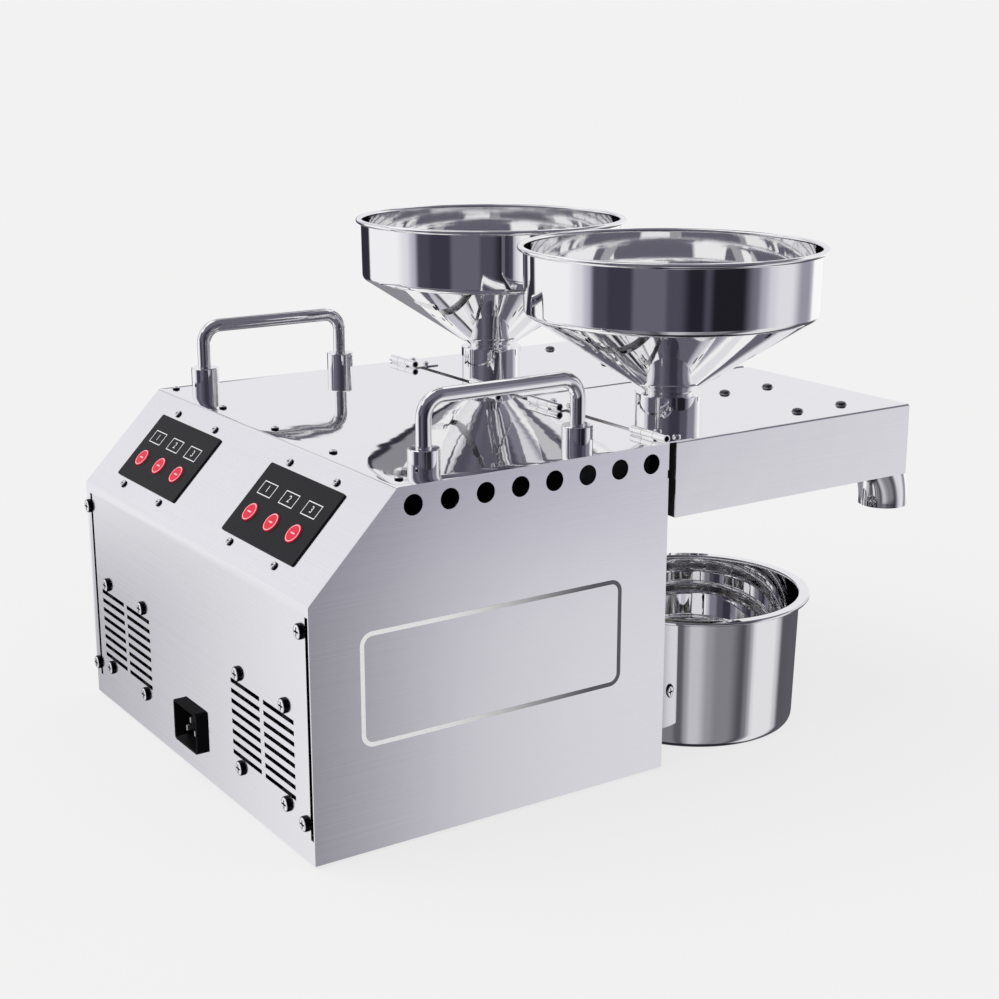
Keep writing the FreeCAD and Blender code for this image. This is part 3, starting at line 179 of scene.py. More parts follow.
# %% The world's directions: a turn round the table and a height
background = screen(243, 242, 242)
world = bpy.data.worlds.new("studio")
bpy.context.scene.world = world
world.use_nodes = True
room = world.node_tree
room.nodes.clear()
direction = node(room, "ShaderNodeTexCoord").outputs["Generated"]
parts = node(room, "ShaderNodeSeparateXYZ")
wire(room, direction, parts.inputs[0])
east, north, up = parts.outputs
turn = maths(room, "ARCTAN2", east, maths(room, "MULTIPLY", north, -1.0))
share = maths(room, "ADD", maths(room, "DIVIDE", turn, 2 * math.pi), 0.5)


def ring_of_cards(cards, behind, tint=1.0):
    """A ramp round the table from cards of (first angle, last angle, grey level)."""
    ring = node(room, "ShaderNodeValToRGB")
    ring.color_ramp.interpolation = "EASE"
    stops = ring.color_ramp.elements
    stops[0].position = 0.0
    stops[0].color = grey(behind, tint)
    stops[-1].position = 1.0
    stops[-1].color = grey(behind, tint)
    for edge, level in sorted({(edge, level) for start, end, level in cards for edge in (start, end)}):
        stops.new(edge / 360 + 0.5).color = grey(level, tint)
    wire(room, share, ring.inputs[0])
    print(len(stops), "stops round a ring")
    return ring.outputs[0]


# %% The rings of cards
ring_above = ring_of_cards([
    (-170, -108, 233),
    (-98, -84, 200),
    (-78, -62, 237),
    (-55, -46, 240),
    (-29, -29, 200),
    (-18, -4, 88),
    (15, 15, 106),
    (40, 40, 82),
    (62, 84, 58),
    (97, 112, 84),
    (126, 144, 132),
    (163, 163, 212),
    (172, 178, 250),
], behind=250)
ring_at_hoppers = ring_of_cards([
    (-172, -150, 252),
    (-127, -127, 205),
    (-108, -81, 48),
    (-77, -36, 242),
    (-23, -23, 220),
    (-15, -15, 180),
    (-9, -1, 72),
    (4, 19, 58),
    (24, 45, 99),
    (49, 56, 76),
    (66, 73, 36),
    (78, 78, 73),
    (84, 105, 31),
    (117, 117, 114),
    (124, 124, 171),
    (132, 132, 209),
    (141, 152, 222),
    (168, 177, 150),
], behind=170)
ring_at_table = ring_of_cards([
    (-172, -140, 90),
    (-120, -84, 140),
    (-72, -72, 148),
    (-69, -69, 190),
    (-66, -66, 222),
    (-63, -50, 246),
    (-40, -20, 190),
    (0, 30, 120),
    (36, 40, 90),
    (46, 46, 154),
    (51, 58, 190),
    (70, 70, 148),
    (80, 92, 128),
    (108, 108, 80),
    (115, 115, 122),
    (119, 119, 166),
    (123, 123, 214),
    (127, 152, 225),
    (158, 158, 198),
    (168, 178, 88),
], behind=88, tint=0.55)

# %% The ceiling: a grid of panels, some of those on its western side lit
lowest_height = 0.2
grid_turn = 28.0
panel_length = 0.52
panel_width = 0.28
black = (0, 0, 0, 1)
white = (1, 1, 1, 1)
height = maths(room, "MAXIMUM", up, lowest_height)
across = maths(room, "DIVIDE", east, height)
overhead_place = node(room, "ShaderNodeCombineXYZ")
wire(room, across, overhead_place.inputs[0])
wire(room, maths(room, "DIVIDE", north, height), overhead_place.inputs[1])
turned_grid = node(room, "ShaderNodeMapping")
turned_grid.inputs["Rotation"].default_value = (0, 0, math.radians(grid_turn))
wire(room, overhead_place.outputs[0], turned_grid.inputs["Vector"])
panels = node(room, "ShaderNodeTexBrick", offset=0.5, Scale=1.0, Mortar_Size=0.0,
              Brick_Width=panel_length, Row_Height=panel_width, Color1=black, Color2=white, Mortar=black)
wire(room, turned_grid.outputs[0], panels.inputs["Vector"])
chosen = span(room, panels.outputs["Color"], 0.47, 0.52)
western = span(room, across, -0.05, -0.12)
lit = maths(room, "MULTIPLY", chosen, western)

# %% Join the rings, the ceiling and the dark below the table's edge
ceiling = blend_colours(room, lit, grey(104), grey(248))
low_part = span(room, up, -0.225, -0.325, smooth=True)
high_part = span(room, up, -0.02, 0.10, smooth=True)
top_part = span(room, up, 0.50, 0.58, smooth=True)
under_part = span(room, up, -0.80, -0.90, smooth=True)
round_table = blend_colours(room, low_part, ring_at_hoppers, ring_at_table)
round_table = blend_colours(room, high_part, round_table, ring_above)
overhead = blend_colours(room, top_part, round_table, ceiling)
seen_by_steel = blend_colours(room, under_part, overhead, grey(40))

# %% [markdown]
# Only mirror-like rays see the cards. Rays that light matt surfaces see one even white, and the
# camera sees the pale background, so that the picture is clean behind the machine. A ray may
# bounce many times inside a polished bowl before it comes out, so more mirror bounces are allowed
# than usual.

# %% The three kinds of ray
ray = node(room, "ShaderNodeLightPath")
even_light = (0.70, 0.70, 0.70, 1.0)
after_gloss = blend_colours(room, ray.outputs["Is Glossy Ray"], even_light, seen_by_steel)
after_glass = blend_colours(room, ray.outputs["Is Transmission Ray"], after_gloss, background)
final = blend_colours(room, ray.outputs["Is Camera Ray"], after_glass, background)
sky = node(room, "ShaderNodeBackground", Strength=1.0)
wire(room, final, sky.inputs["Color"])
wire(room, sky.outputs[0], node(room, "ShaderNodeOutputWorld").inputs["Surface"])
most_bounces = 14
mirror_bounces = 10
world.cycles.sampling_method = "NONE"
bpy.context.scene.cycles.max_bounces = most_bounces
bpy.context.scene.cycles.glossy_bounces = mirror_bounces

# %% [markdown]
# One broad soft lamp from the upper left gives the keypads and the plastic their modelling and
# puts a faint shadow under the machine. It doesn't show in the steel, which the cards already
# light. The floor is a plain pale sheet. Far from the machine it fades into the background
# colour, so no edge or horizon shows, and near it the camera sees mostly that same even colour,
# with only a trace of the shadow.

# %% Lamp, floor and view settings
lamp_share = 0.30
lamp_tilt = 38.0
lamp_heading = -30.0
lamp_softness = 60.0
floor_radius = 6.0
floor_drop = 0.0002
fade_start = 0.45
fade_end = 1.1
shadow_share = 0.15
lamp = bpy.data.lights.new("soft_lamp", "SUN")
lamp.angle = math.radians(lamp_softness)
lamp.energy = lamp_share * math.pi / math.cos(math.radians(lamp_tilt))
lamp_object = bpy.data.objects.new("soft_lamp", lamp)
bpy.context.scene.collection.objects.link(lamp_object)
lamp_object.rotation_euler = (math.radians(lamp_tilt), 0, math.radians(lamp_heading))
lamp_object.visible_glossy = False

bpy.ops.object.select_all(action="DESELECT")
bpy.ops.mesh.primitive_circle_add(vertices=96, radius=floor_radius, fill_type="NGON",
                                  location=(0, 0, -floor_drop))
floor = bpy.context.object
floor.name = "floor"
floor.visible_glossy = False
sheet = bpy.data.materials.new("pale_floor")
sheet.use_nodes = True
tree = sheet.node_tree
tree.nodes.clear()
matt = node(tree, "ShaderNodeBsdfDiffuse", Color=background)
plain = node(tree, "ShaderNodeEmission", Color=background)
place = node(tree, "ShaderNodeTexCoord").outputs["Object"]
reach = node(tree, "ShaderNodeVectorMath", operation="LENGTH")
wire(tree, place, reach.inputs[0])
far = span(tree, reach.outputs["Value"], fade_start, fade_end, smooth=True)
floor_ray = node(tree, "ShaderNodeLightPath")
seen = maths(tree, "MULTIPLY", floor_ray.outputs["Is Camera Ray"], 1 - shadow_share)
mix = node(tree, "ShaderNodeMixShader")
wire(tree, maths(tree, "MAXIMUM", far, seen), mix.inputs[0])
wire(tree, matt.outputs[0], mix.inputs[1])
wire(tree, plain.outputs[0], mix.inputs[2])
wire(tree, mix.outputs[0], node(tree, "ShaderNodeOutputMaterial").inputs["Surface"])
floor.data.materials.append(sheet)
bpy.context.scene.view_settings.view_transform = "Standard"

# %% [markdown]
# ## The finishes
#
# Every finish is a Principled shader with a pattern on the Object coordinates, which are the same
# as the machine's own measures. Brushed sheet is steel with long fine scratches all one way, so a
# noise is squeezed across the lines and stretched along them, and drives roughness, a little of
# the colour and a very low bump. A second, slower noise keeps a large panel from looking printed.

# %% Brushed sheet
def finish(name, colour, metallic, roughness):
    """A new Principled material with its node tree and its shader."""
    made = bpy.data.materials.new(name)
    made.use_nodes = True
    shader = made.node_tree.nodes["Principled BSDF"]
    shader.inputs["Base Color"].default_value = colour
    shader.inputs["Metallic"].default_value = metallic
    shader.inputs["Roughness"].default_value = roughness
    return made.node_tree, shader, made


def pattern(tree, stretch, detail=3.0, roughness=0.55):
    """A noise on the machine's own measures, with so many waves per metre along x, y and z."""
    coordinates = node(tree, "ShaderNodeTexCoord").outputs["Object"]
    scale = node(tree, "ShaderNodeMapping")
    scale.inputs["Scale"].default_value = stretch
    wire(tree, coordinates, scale.inputs["Vector"])
    noise = node(tree, "ShaderNodeTexNoise", Scale=1.0, Detail=detail, Roughness=roughness)
    wire(tree, scale.outputs[0], noise.inputs["Vector"])
    return noise.outputs[0]


def raised(tree, shader, height, strength, distance):
    bump = node(tree, "ShaderNodeBump", Strength=strength, Distance=distance)
    wire(tree, height, bump.inputs["Height"])
    wire(tree, bump.outputs[0], shader.inputs["Normal"])


def darker(colour, factor):
    return tuple(factor * value for value in colour[:3]) + (1.0,)


def brushed(name, stretch, colour, roughness):
    """Steel with fine scratches along the axis in which the stretch has few waves per metre."""
    tree, shader, made = finish(name, colour, 1.0, roughness)
    lines = pattern(tree, stretch, detail=4.0)
    cloud = pattern(tree, (14.0, 14.0, 14.0), detail=2.0)
    lined = blend_colours(tree, span(tree, lines, 0.3, 0.7), darker(colour, 0.955), colour)
    wire(tree, lined, shader.inputs["Base Color"])
    mixed = maths(tree, "ADD", maths(tree, "MULTIPLY", lines, 0.10), maths(tree, "MULTIPLY", cloud, 0.05))
    wire(tree, maths(tree, "ADD", mixed, roughness - 0.075), shader.inputs["Roughness"])
    raised(tree, shader, lines, 0.03, 0.0002)
    return made


steel = screen(250, 250, 250)
brushed_across = brushed("brushed_across", (7.0, 1100.0, 1100.0), screen(246, 246, 249), 0.165)
brushed_along = brushed("brushed_along", (1100.0, 7.0, 1100.0), screen(247, 246, 250), 0.15)

# %% Polished and chromed steel
def polished(name, colour, roughness, wave, wave_size):
    """Bright metal whose surface is a little wavy, with wave_size waves per metre."""
    tree, shader, made = finish(name, colour, 1.0, roughness)
    cloud = pattern(tree, (9.0, 9.0, 9.0), detail=2.0)
    wire(tree, span(tree, cloud, 0.3, 0.7, roughness * 0.8, roughness * 1.4), shader.inputs["Roughness"])
    raised(tree, shader, pattern(tree, (wave_size,) * 3, detail=1.0), wave, 0.001)
    return made


mirror_steel = polished("mirror_steel", steel, 0.028, 0.010, 16.0)
chrome = polished("chrome", steel, 0.03, 0.006, 20.0)
dark_chrome = polished("dark_chrome", screen(112, 112, 117), 0.07, 0.10, 900.0)
drawn_steel = polished("drawn_steel", steel, 0.008, 0.004, 12.0)
# A near-black metal, used only as painted shade on the hinge pins.
pin_hole_shade = polished("pin_hole_shade", screen(44, 44, 48), 0.3, 0.03, 300.0)
turned_steel = polished("turned_steel", screen(190, 190, 192), 0.28, 0.05, 300.0)

# %% [markdown]
# The covers and the case top are cut from polished sheet. Its faces that look up keep the mirror
# finish under their film, and the folded-down sides are rubbed to a fine satin, so one finish
# turns from mirror to satin with the height of the fold.

# %% Polished sheet with satin sides
fold_skin = 0.0008
fold_blend = 0.0006


def sheet_metal(name, fold_height):
    tree, shader, made = finish(name, steel, 1.0, 0.03)
    coordinates = node(tree, "ShaderNodeTexCoord").outputs["Object"]
    parts = node(tree, "ShaderNodeSeparateXYZ")
    wire(tree, coordinates, parts.inputs[0])
    side = span(tree, parts.outputs[2], fold_height, fold_height - fold_blend)
    lines = pattern(tree, (900.0, 8.0, 900.0), detail=4.0)
    cloud = pattern(tree, (7.0, 7.0, 7.0), detail=2.0)
    satin = maths(tree, "ADD", maths(tree, "MULTIPLY", lines, 0.08), 0.12)
    mirror = maths(tree, "ADD", maths(tree, "MULTIPLY", cloud, 0.02), 0.02)
    rough = node(tree, "ShaderNodeMix")
    for socket, value in zip(rough.inputs[:1] + rough.inputs[2:4], (side, mirror, satin)):
        wire(tree, value, socket)
    wire(tree, rough.outputs[0], shader.inputs["Roughness"])
    wire(tree, blend_colours(tree, span(tree, lines, 0.3, 0.7), darker(steel, 0.97), steel),
         shader.inputs["Base Color"])
    raised(tree, shader, pattern(tree, (30.0, 30.0, 30.0), detail=1.0), 0.13, 0.001)
    return made


top_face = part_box("top_panel")[1].z
mirror_sheet = sheet_metal("mirror_sheet", top_face - fold_skin)

# %% Plastics, rubber, paint and boards
def moulded(name, colour, roughness, grain, bump, specular=0.5):
    """Plastic, paint, rubber or cast metal with a fine grain of so many waves per metre."""
    tree, shader, made = finish(name, colour, 0.0, roughness)
    shader.inputs["Specular IOR Level"].default_value = specular
    fine = pattern(tree, (grain,) * 3, detail=4.0)
    lighter = tuple(min(1.0, 1.25 * value + 0.004) for value in colour[:3]) + (1.0,)
    grained = blend_colours(tree, span(tree, fine, 0.35, 0.75), colour, lighter)
    wire(tree, grained, shader.inputs["Base Color"])
    wire(tree, span(tree, fine, 0.3, 0.7, roughness - 0.06, roughness + 0.08), shader.inputs["Roughness"])
    raised(tree, shader, fine, bump, 0.0002)
    return made


black_plastic = moulded("black_plastic", screen(9, 9, 11), 0.55, 1800.0, 0.1, 0.05)
keypad_film = moulded("keypad_film", screen(24, 23, 27), 0.5, 2600.0, 0.06, 0.2)
button_red = moulded("button_red", screen(214, 26, 54), 0.34, 900.0, 0.03, 0.3)
print_white = moulded("print_white", screen(228, 228, 230), 0.5, 1500.0, 0.02, 0.2)
print_pink = moulded("print_pink", screen(244, 188, 196), 0.45, 1500.0, 0.02, 0.2)
circuit_green = moulded("circuit_green", screen(30, 92, 60), 0.45, 700.0, 0.1)
motor_paint = moulded("motor_paint", screen(58, 60, 66), 0.4, 900.0, 0.2)
cast_iron = moulded("cast_iron", screen(86, 88, 92), 0.6, 700.0, 0.4)
rubber = moulded("rubber", screen(30, 30, 31), 0.75, 1200.0, 0.3)
brass_tree, brass_shader, brass = finish("plated_brass", screen(206, 198, 180), 1.0, 0.3)
wire(brass_tree, span(brass_tree, pattern(brass_tree, (300.0, 20.0, 300.0)), 0.3, 0.7, 0.22, 0.4),
     brass_shader.inputs["Roughness"])

# %% Give each node of the frame its finish
finishes = {
    "brushed_case": brushed_across,
    "polished_sheet": mirror_sheet,
    "polished_steel": mirror_steel,
    "chrome_bar": chrome,
    "screw_steel": dark_chrome,
    "black_plastic": black_plastic,
    "pin_metal": turned_steel,
    "keypad_face": keypad_film,
    "button_red": button_red,
    "circuit_board": circuit_green,
    "motor_paint": motor_paint,
    "gear_case_iron": cast_iron,
    "machined_steel": turned_steel,
    "bearing_steel": turned_steel,
    "heater_brass": brass,
    "foot_rubber": rubber,
}
for name, piece in nodes.items():
    piece.material_slots[0].material = finishes[slot_of[name]]
for name in ("right_side_panel", "left_side_panel"):
    nodes[name].material_slots[0].material = brushed_along
# The hinge pins get the near-black finish as painted shade, so that the tubes' ends read as dark holes.
nodes["hinge_pins"].material_slots[0].material = pin_hole_shade
nodes["inlet_housing"].visible_glossy = False

# %% Shade inside the side panels' slits
sheet_skin = 0.0008
skin_blend = 0.0002
panel_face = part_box("right_side_panel")[1].x
panel_tree = brushed_along.node_tree
panel_shader = panel_tree.nodes["Principled BSDF"]
panel_parts = node(panel_tree, "ShaderNodeSeparateXYZ")
wire(panel_tree, node(panel_tree, "ShaderNodeTexCoord").outputs["Object"], panel_parts.inputs[0])
from_middle = maths(panel_tree, "ABSOLUTE", panel_parts.outputs[0])
outer_skin = span(panel_tree, from_middle, panel_face - sheet_skin - skin_blend, panel_face - sheet_skin)
sheet_colour = panel_shader.inputs["Base Color"].links[0].from_socket
slit_shade = screen(60, 60, 62)
wire(panel_tree, blend_colours(panel_tree, outer_skin, slit_shade, sheet_colour),
     panel_shader.inputs["Base Color"])
print("side panels' faces stand", round(panel_face, 4), "from the middle")

# %% [markdown]
# ## Helpers for the finer pieces
#
# New pieces start as a primitive that is added at its place and shaped in edit mode. The CAD
# nodes come in selected, so everything is deselected first, and each primitive's place is moved
# into its mesh, which leaves its object at the origin.
#
# Most pieces here are turned: a ring of points is extruded from station to station up an outline
# and resized to each new radius about the piece's axis. A sheet wall's outline runs up the
# outside and back down the inside and closes on itself, so the wall has its real thickness.

# %% Begin, place and finish a piece
sides = ("right", "left")


def deselect():
    bpy.ops.object.select_all(action="DESELECT")


def placed(name):
    """Names the object just made and moves its place into its mesh."""
    piece = bpy.context.object
    piece.name = name
    piece.data.name = name
    bpy.ops.object.transform_apply(location=True, rotation=True, scale=True)
    return piece


def editing(piece, on=True):
    bpy.context.view_layer.objects.active = piece
    bpy.ops.object.mode_set(mode="EDIT" if on else "OBJECT")


def smooth(piece, degrees=32.0):
    deselect()
    piece.select_set(True)
    bpy.context.view_layer.objects.active = piece
    bpy.ops.object.shade_smooth_by_angle(angle=math.radians(degrees))


def stands_for(piece, name, material):
    """Gives a piece its finish and lets it take the place of a CAD node, on the same body."""
    piece.data.materials.clear()
    piece.data.materials.append(material)
    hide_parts(name)
    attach(piece, nodes[name]["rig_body"])
    print(piece.name, "stands for", name, "with", len(piece.data.polygons), "faces")


def fixed_on(piece, name, material):
    """Gives a small added piece its finish and fixes it to the body of a CAD node."""
    piece.data.materials.clear()
    piece.data.materials.append(material)
    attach(piece, nodes[name]["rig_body"])
    print(piece.name, "sits on", name, "with", len(piece.data.polygons), "faces")


# %% Turned pieces
hold = 1.2
same_point = 0.000002


def toward(point, other, distance):
    """A point moved by a distance towards another one."""
    share = distance / math.dist(point, other)
    return tuple(p + share * (o - p) for p, o in zip(point, other))


def eased(outline, reaches, steps=5):
    """The outline with some corners, given by their number, replaced by a short curve.

    A station just outside each end of a curve holds the straight stretch beside it, so that the
    curve's smooth shading doesn't leak into a tall wall.
    """
    points = []
    for index, corner in enumerate(outline):
        reach = reaches.get(index)
        if reach is None:
            points.append(corner)
            continue
        before = outline[index - 1]
        after = outline[(index + 1) % len(outline)]
        start = toward(corner, before, reach)
        end = toward(corner, after, reach)
        points.append(toward(corner, before, hold * reach))
        for step in range(steps + 1):
            t = step / steps
            points.append(tuple((1 - t) ** 2 * s + 2 * t * (1 - t) * c + t * t * e
                                for s, c, e in zip(start, corner, end)))
        points.append(toward(corner, after, hold * reach))
    return points


def turned(name, centre, outline, around=96, closed=True):
    """Extrudes a ring from station to station of an outline of (radius, height)."""
    deselect()
    radius, height = outline[0]
    bpy.ops.mesh.primitive_circle_add(vertices=around, radius=radius, location=(*centre, height))
    piece = placed(name)
    editing(piece)
    bpy.ops.mesh.select_all(action="SELECT")
    stations = outline + outline[:1] if closed else outline
    for (radius, height), (next_radius, next_height) in zip(stations, stations[1:]):
        bpy.ops.mesh.extrude_region_move(TRANSFORM_OT_translate={"value": (0, 0, next_height - height)})
        scale = next_radius / radius
        bpy.ops.transform.resize(value=(scale, scale, 1), center_override=(*centre, next_height))
    if not closed:
        bpy.ops.mesh.select_all(action="DESELECT")
        bpy.ops.mesh.select_non_manifold()
        bpy.ops.mesh.merge(type="COLLAPSE")
    bpy.ops.mesh.select_all(action="SELECT")
    bpy.ops.mesh.remove_doubles(threshold=same_point)
    bpy.ops.mesh.normals_make_consistent(inside=False)
    editing(piece, False)
    smooth(piece)
    return piece


# %% Join pieces and find a node's middle
def joined(name, members):
    """Makes one piece of several and gives it the name."""
    deselect()
    for member in members:
        member.select_set(True)
    bpy.context.view_layer.objects.active = members[0]
    bpy.ops.object.join()
    return placed(name)


def middle(name):
    low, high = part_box(name)
    return (low + high) / 2


# %% [markdown]
# ## Hoppers
#
# A hopper of this kind is spun from one disc of sheet: a short neck, a wide cone and a shallow
# wall whose top edge is rolled outwards over a wire. The sheet has no sharp corner anywhere,
# because it was pressed over a round-edged former, and those small radii catch the light as thin
# bright and dark lines. The roll is a row of stations round a small ring, flattened a little, and
# the inside of the wall runs straight on into it.

# %% Hoppers
wall = 0.001
neck_radius = 0.0175
cone_low = 0.2738
cone_top = 0.3355
wall_low_radius = 0.1121
wall_top_radius = 0.1127
rim_height = 0.3842
roll_reach = 0.0027
roll_rise = 0.0021
roll_centre = wall_top_radius - wall + roll_reach
neck_round = 0.005
wall_round = 0.0028
inner_wall_round = 0.0032


def hopper_outline(neck_end):
    """The hopper's section as (radius, height): up the outside, round the roll, down the inside."""
    roll = []
    for degrees in range(-120, 181, 15):
        turn = math.radians(degrees)
        roll.append((roll_centre + roll_reach * math.cos(turn), rim_height + roll_rise * math.sin(turn)))
    under_roll = rim_height - roll_rise
    outside = [(neck_radius, neck_end), (neck_radius, cone_low), (wall_low_radius, cone_top),
               (wall_top_radius, under_roll - wall), (wall_top_radius, under_roll)]
    inside = [(wall_top_radius - wall, rim_height - wall), (wall_low_radius - wall, cone_top + wall),
              (neck_radius - wall, cone_low + 1.2 * wall), (neck_radius - wall, neck_end)]
    outline = outside + roll + inside
    inner_corner = len(outside) + len(roll) + 1
    rounds = {1: neck_round, 2: wall_round, inner_corner: inner_wall_round, inner_corner + 1: neck_round}
    return eased(outline, rounds, steps=6)


for side in sides:
    name = side + "_hopper"
    centre = middle(name)
    neck_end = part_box(name)[0].z
    hopper = turned(side + "_hopper_spun", (centre.x, centre.y), hopper_outline(neck_end), around=160)
    stands_for(hopper, name, mirror_steel)

# %% [markdown]
# ## Bowls
#
# The bowls are deep-drawn pots: straight wall, a large radius at the foot and a flat lip whose
# edge is curled under. The outline starts at the pole under the foot, runs up the outside, round
# the lip, down the inside and back to a pole, and both poles are merged to one point.

# %% Bowls
bowl_height = 0.107
foot_radius = 0.083
mouth_radius = 0.0858
lip_radius = 0.0938
foot_round = 0.007
lip_thickness = 0.0012
curl_depth = 0.0026
curl_width = 0.0021
pole = 0.0003
bowl_outline = eased([
    (pole, 0.0),
    (foot_radius, 0.0),
    (mouth_radius, bowl_height - lip_thickness),
    (lip_radius - curl_width, bowl_height - lip_thickness),
    (lip_radius - curl_width, bowl_height - curl_depth),
    (lip_radius, bowl_height - curl_depth),
    (lip_radius, bowl_height),
    (mouth_radius - wall, bowl_height),
    (foot_radius - wall, wall),
    (pole, wall),
], {1: foot_round, 2: 0.0016, 4: 0.0006, 5: 0.0009, 6: 0.0011, 7: 0.0018, 8: foot_round}, steps=6)
for side in sides:
    name = side + "_bowl"
    centre = middle(name)
    bowl = turned(side + "_bowl_drawn", (centre.x, centre.y), bowl_outline, around=144, closed=False)
    stands_for(bowl, name, drawn_steel)

# %% [markdown]
# ## Collars and handle sleeves
#
# Both are short tubes turned from bar. Their top edge is broken with a small chamfer, and the
# bottom edge is left square so that they stand tight on the polished sheet.

# %% Collars and sleeves
def tube_outline(outer, bore, low, high, chamfer):
    return [(outer, low), (outer, high - chamfer), (outer - chamfer, high), (bore + chamfer / 2, high),
            (bore, high - chamfer / 2), (bore, low)]


collar_radius = 0.0260
collar_bore = 0.0180
collar_chamfer = 0.0007
for side in sides:
    name = side + "_collar"
    low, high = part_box(name)
    centre = middle(name)
    outline = tube_outline(collar_radius, collar_bore, low.z, high.z, collar_chamfer)
    collar = turned(side + "_collar_turned", (centre.x, centre.y), outline, around=96)
    stands_for(collar, name, mirror_steel)

sleeve_radius = 0.0113
sleeve_bore = 0.0056
sleeve_chamfer = 0.0006
bar_radius = 0.0055
low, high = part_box("handle_sleeves")
leg_front = low.y + sleeve_radius
leg_back = high.y - sleeve_radius
sleeves = []
for side in sides:
    x = middle(side + "_handle").x
    for y in (leg_front, leg_back):
        outline = tube_outline(sleeve_radius, sleeve_bore, low.z, high.z, sleeve_chamfer)
        sleeves.append(turned("sleeve", (x, y), outline, around=72))
stands_for(joined("handle_sleeves_turned", sleeves), "handle_sleeves", chrome)

# %% [markdown]
# ## Carrying handles
#
# Each handle is one chromed bar bent twice. A ring of points is extruded up the first leg, spun
# through a quarter turn round the bend's centre, extruded along the top, spun again and extruded
# down, which gives an even ring at every step of the bend.

# %% Handles
bend = 0.0145
bend_steps = 14
hold_length = 0.0005


def drawn_out(length):
    """Extrudes the selected ring straight by a length, with a short step at each end."""
    end = hold_length / math.hypot(*length)
    for part in (end, 1 - 2 * end, end):
        step = tuple(part * value for value in length)
        bpy.ops.mesh.extrude_region_move(TRANSFORM_OT_translate={"value": step})


def quarter_bend(centre):
    bpy.ops.mesh.spin(steps=bend_steps, angle=math.radians(90), center=centre, axis=(1, 0, 0), dupli=False)


for side in sides:
    name = side + "_handle"
    x = middle(name).x
    bar_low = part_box(name)[0].z
    bar_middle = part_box(name)[1].z - bar_radius
    deselect()
    bpy.ops.mesh.primitive_circle_add(vertices=40, radius=bar_radius, location=(x, leg_front, bar_low),
                                      fill_type="NGON")
    handle = placed(side + "_handle_bent")
    editing(handle)
    bpy.ops.mesh.select_all(action="SELECT")
    rise = bar_middle - bend - bar_low
    along_top = leg_back - leg_front - 2 * bend
    drawn_out((0, 0, rise))
    quarter_bend((x, leg_front + bend, bar_middle - bend))
    drawn_out((0, along_top, 0))
    quarter_bend((x, leg_back - bend, bar_middle - bend))
    drawn_out((0, 0, -rise))
    bpy.ops.mesh.select_all(action="SELECT")
    bpy.ops.mesh.remove_doubles(threshold=same_point)
    bpy.ops.mesh.normals_make_consistent(inside=False)
    editing(handle, False)
    smooth(handle)
    print(name, [round(v, 4) for v in handle.bound_box[0]], [round(v, 4) for v in handle.bound_box[6]])
    stands_for(handle, name, chrome)

# %% [markdown]
# ## Prints on the keypads and buttons
#
# The keypads carry plain white prints: three outlined fields numbered 1 to 3, one above each
# button, and on each button a pale ring with a bar. Ink lies on the surface, so each print is a
# real sheet a few hundredths of a millimetre thick, drawn flat and then laid on the slope.

# %% The slope's own directions
button_joint = next(joint for joint in frame["joints"] if joint["name"] == "right_first_press")
press_y, press_z = button_joint["axis"][1:]
slope_tilt = math.atan2(press_y, -press_z)
print("slope tilted", round(math.degrees(slope_tilt), 2), "degrees")


def laid_on_slope(piece, x, y, z):
    """Turns a flat drawing to the slope and moves it there, all into its mesh."""
    deselect()
    piece.select_set(True)
    bpy.context.view_layer.objects.active = piece
    piece.rotation_euler = (slope_tilt, 0, 0)
    piece.location = (x, y, z)
    return placed(piece.name)


def on_face(name, along, lift):
    """The y and z of a place on a keypad's outer face, measured up the slope from its middle."""
    vertices = nodes[name].data.vertices
    face = max(-press_y * v.co.y - press_z * v.co.z for v in vertices)
    centre = middle(name)
    up_y, up_z = -press_z, press_y
    middle_along = centre.y * up_y + centre.z * up_z
    distance = middle_along + along
    return (up_y * distance - press_y * (face + lift), up_z * distance - press_z * (face + lift))


# %% Outlined fields and their numbers
ink = 0.00004
field_width = 0.0200
field_height = 0.0112
field_line = 0.0007
field_along = 0.0104
number_size = 0.0078


def outlined_field(name):
    deselect()
    bpy.ops.mesh.primitive_plane_add(size=1.0)
    field = bpy.context.object
    field.scale = (field_width, field_height, 1)
    field = placed(name)
    editing(field)
    bpy.ops.mesh.select_all(action="SELECT")
    bpy.ops.mesh.inset(thickness=field_line, depth=0)
    bpy.ops.mesh.delete(type="FACE")
    bpy.ops.mesh.select_all(action="SELECT")
    bpy.ops.mesh.extrude_region_move(TRANSFORM_OT_translate={"value": (0, 0, ink)})
    bpy.ops.mesh.select_all(action="SELECT")
    bpy.ops.mesh.normals_make_consistent(inside=False)
    editing(field, False)
    return field


def number(name, digit):
    deselect()
    bpy.ops.object.text_add()
    text = bpy.context.object
    text.data.body = str(digit)
    text.data.align_x = "CENTER"
    text.data.align_y = "CENTER"
    text.data.size = number_size
    text.data.extrude = ink / 2
    text.data.resolution_u = 4
    bpy.ops.object.convert(target="MESH")
    return placed(name)


for side in sides:
    keypad = side + "_keypad"
    prints = []
    for digit, which in enumerate(("first", "second", "third"), start=1):
        x = middle(side + "_" + which + "_button").x
        y, z = on_face(keypad, field_along, 0.0)
        prints.append(laid_on_slope(outlined_field("field"), x, y, z))
        y, z = on_face(keypad, field_along, ink / 2)
        prints.append(laid_on_slope(number("number", digit), x, y, z))
    fixed_on(joined(side + "_keypad_print", prints), keypad, print_white)

# %% Rings and bars on the buttons
ring_outer = 0.0068
ring_inner = 0.0061
bar_length = 0.0056
bar_width = 0.0011


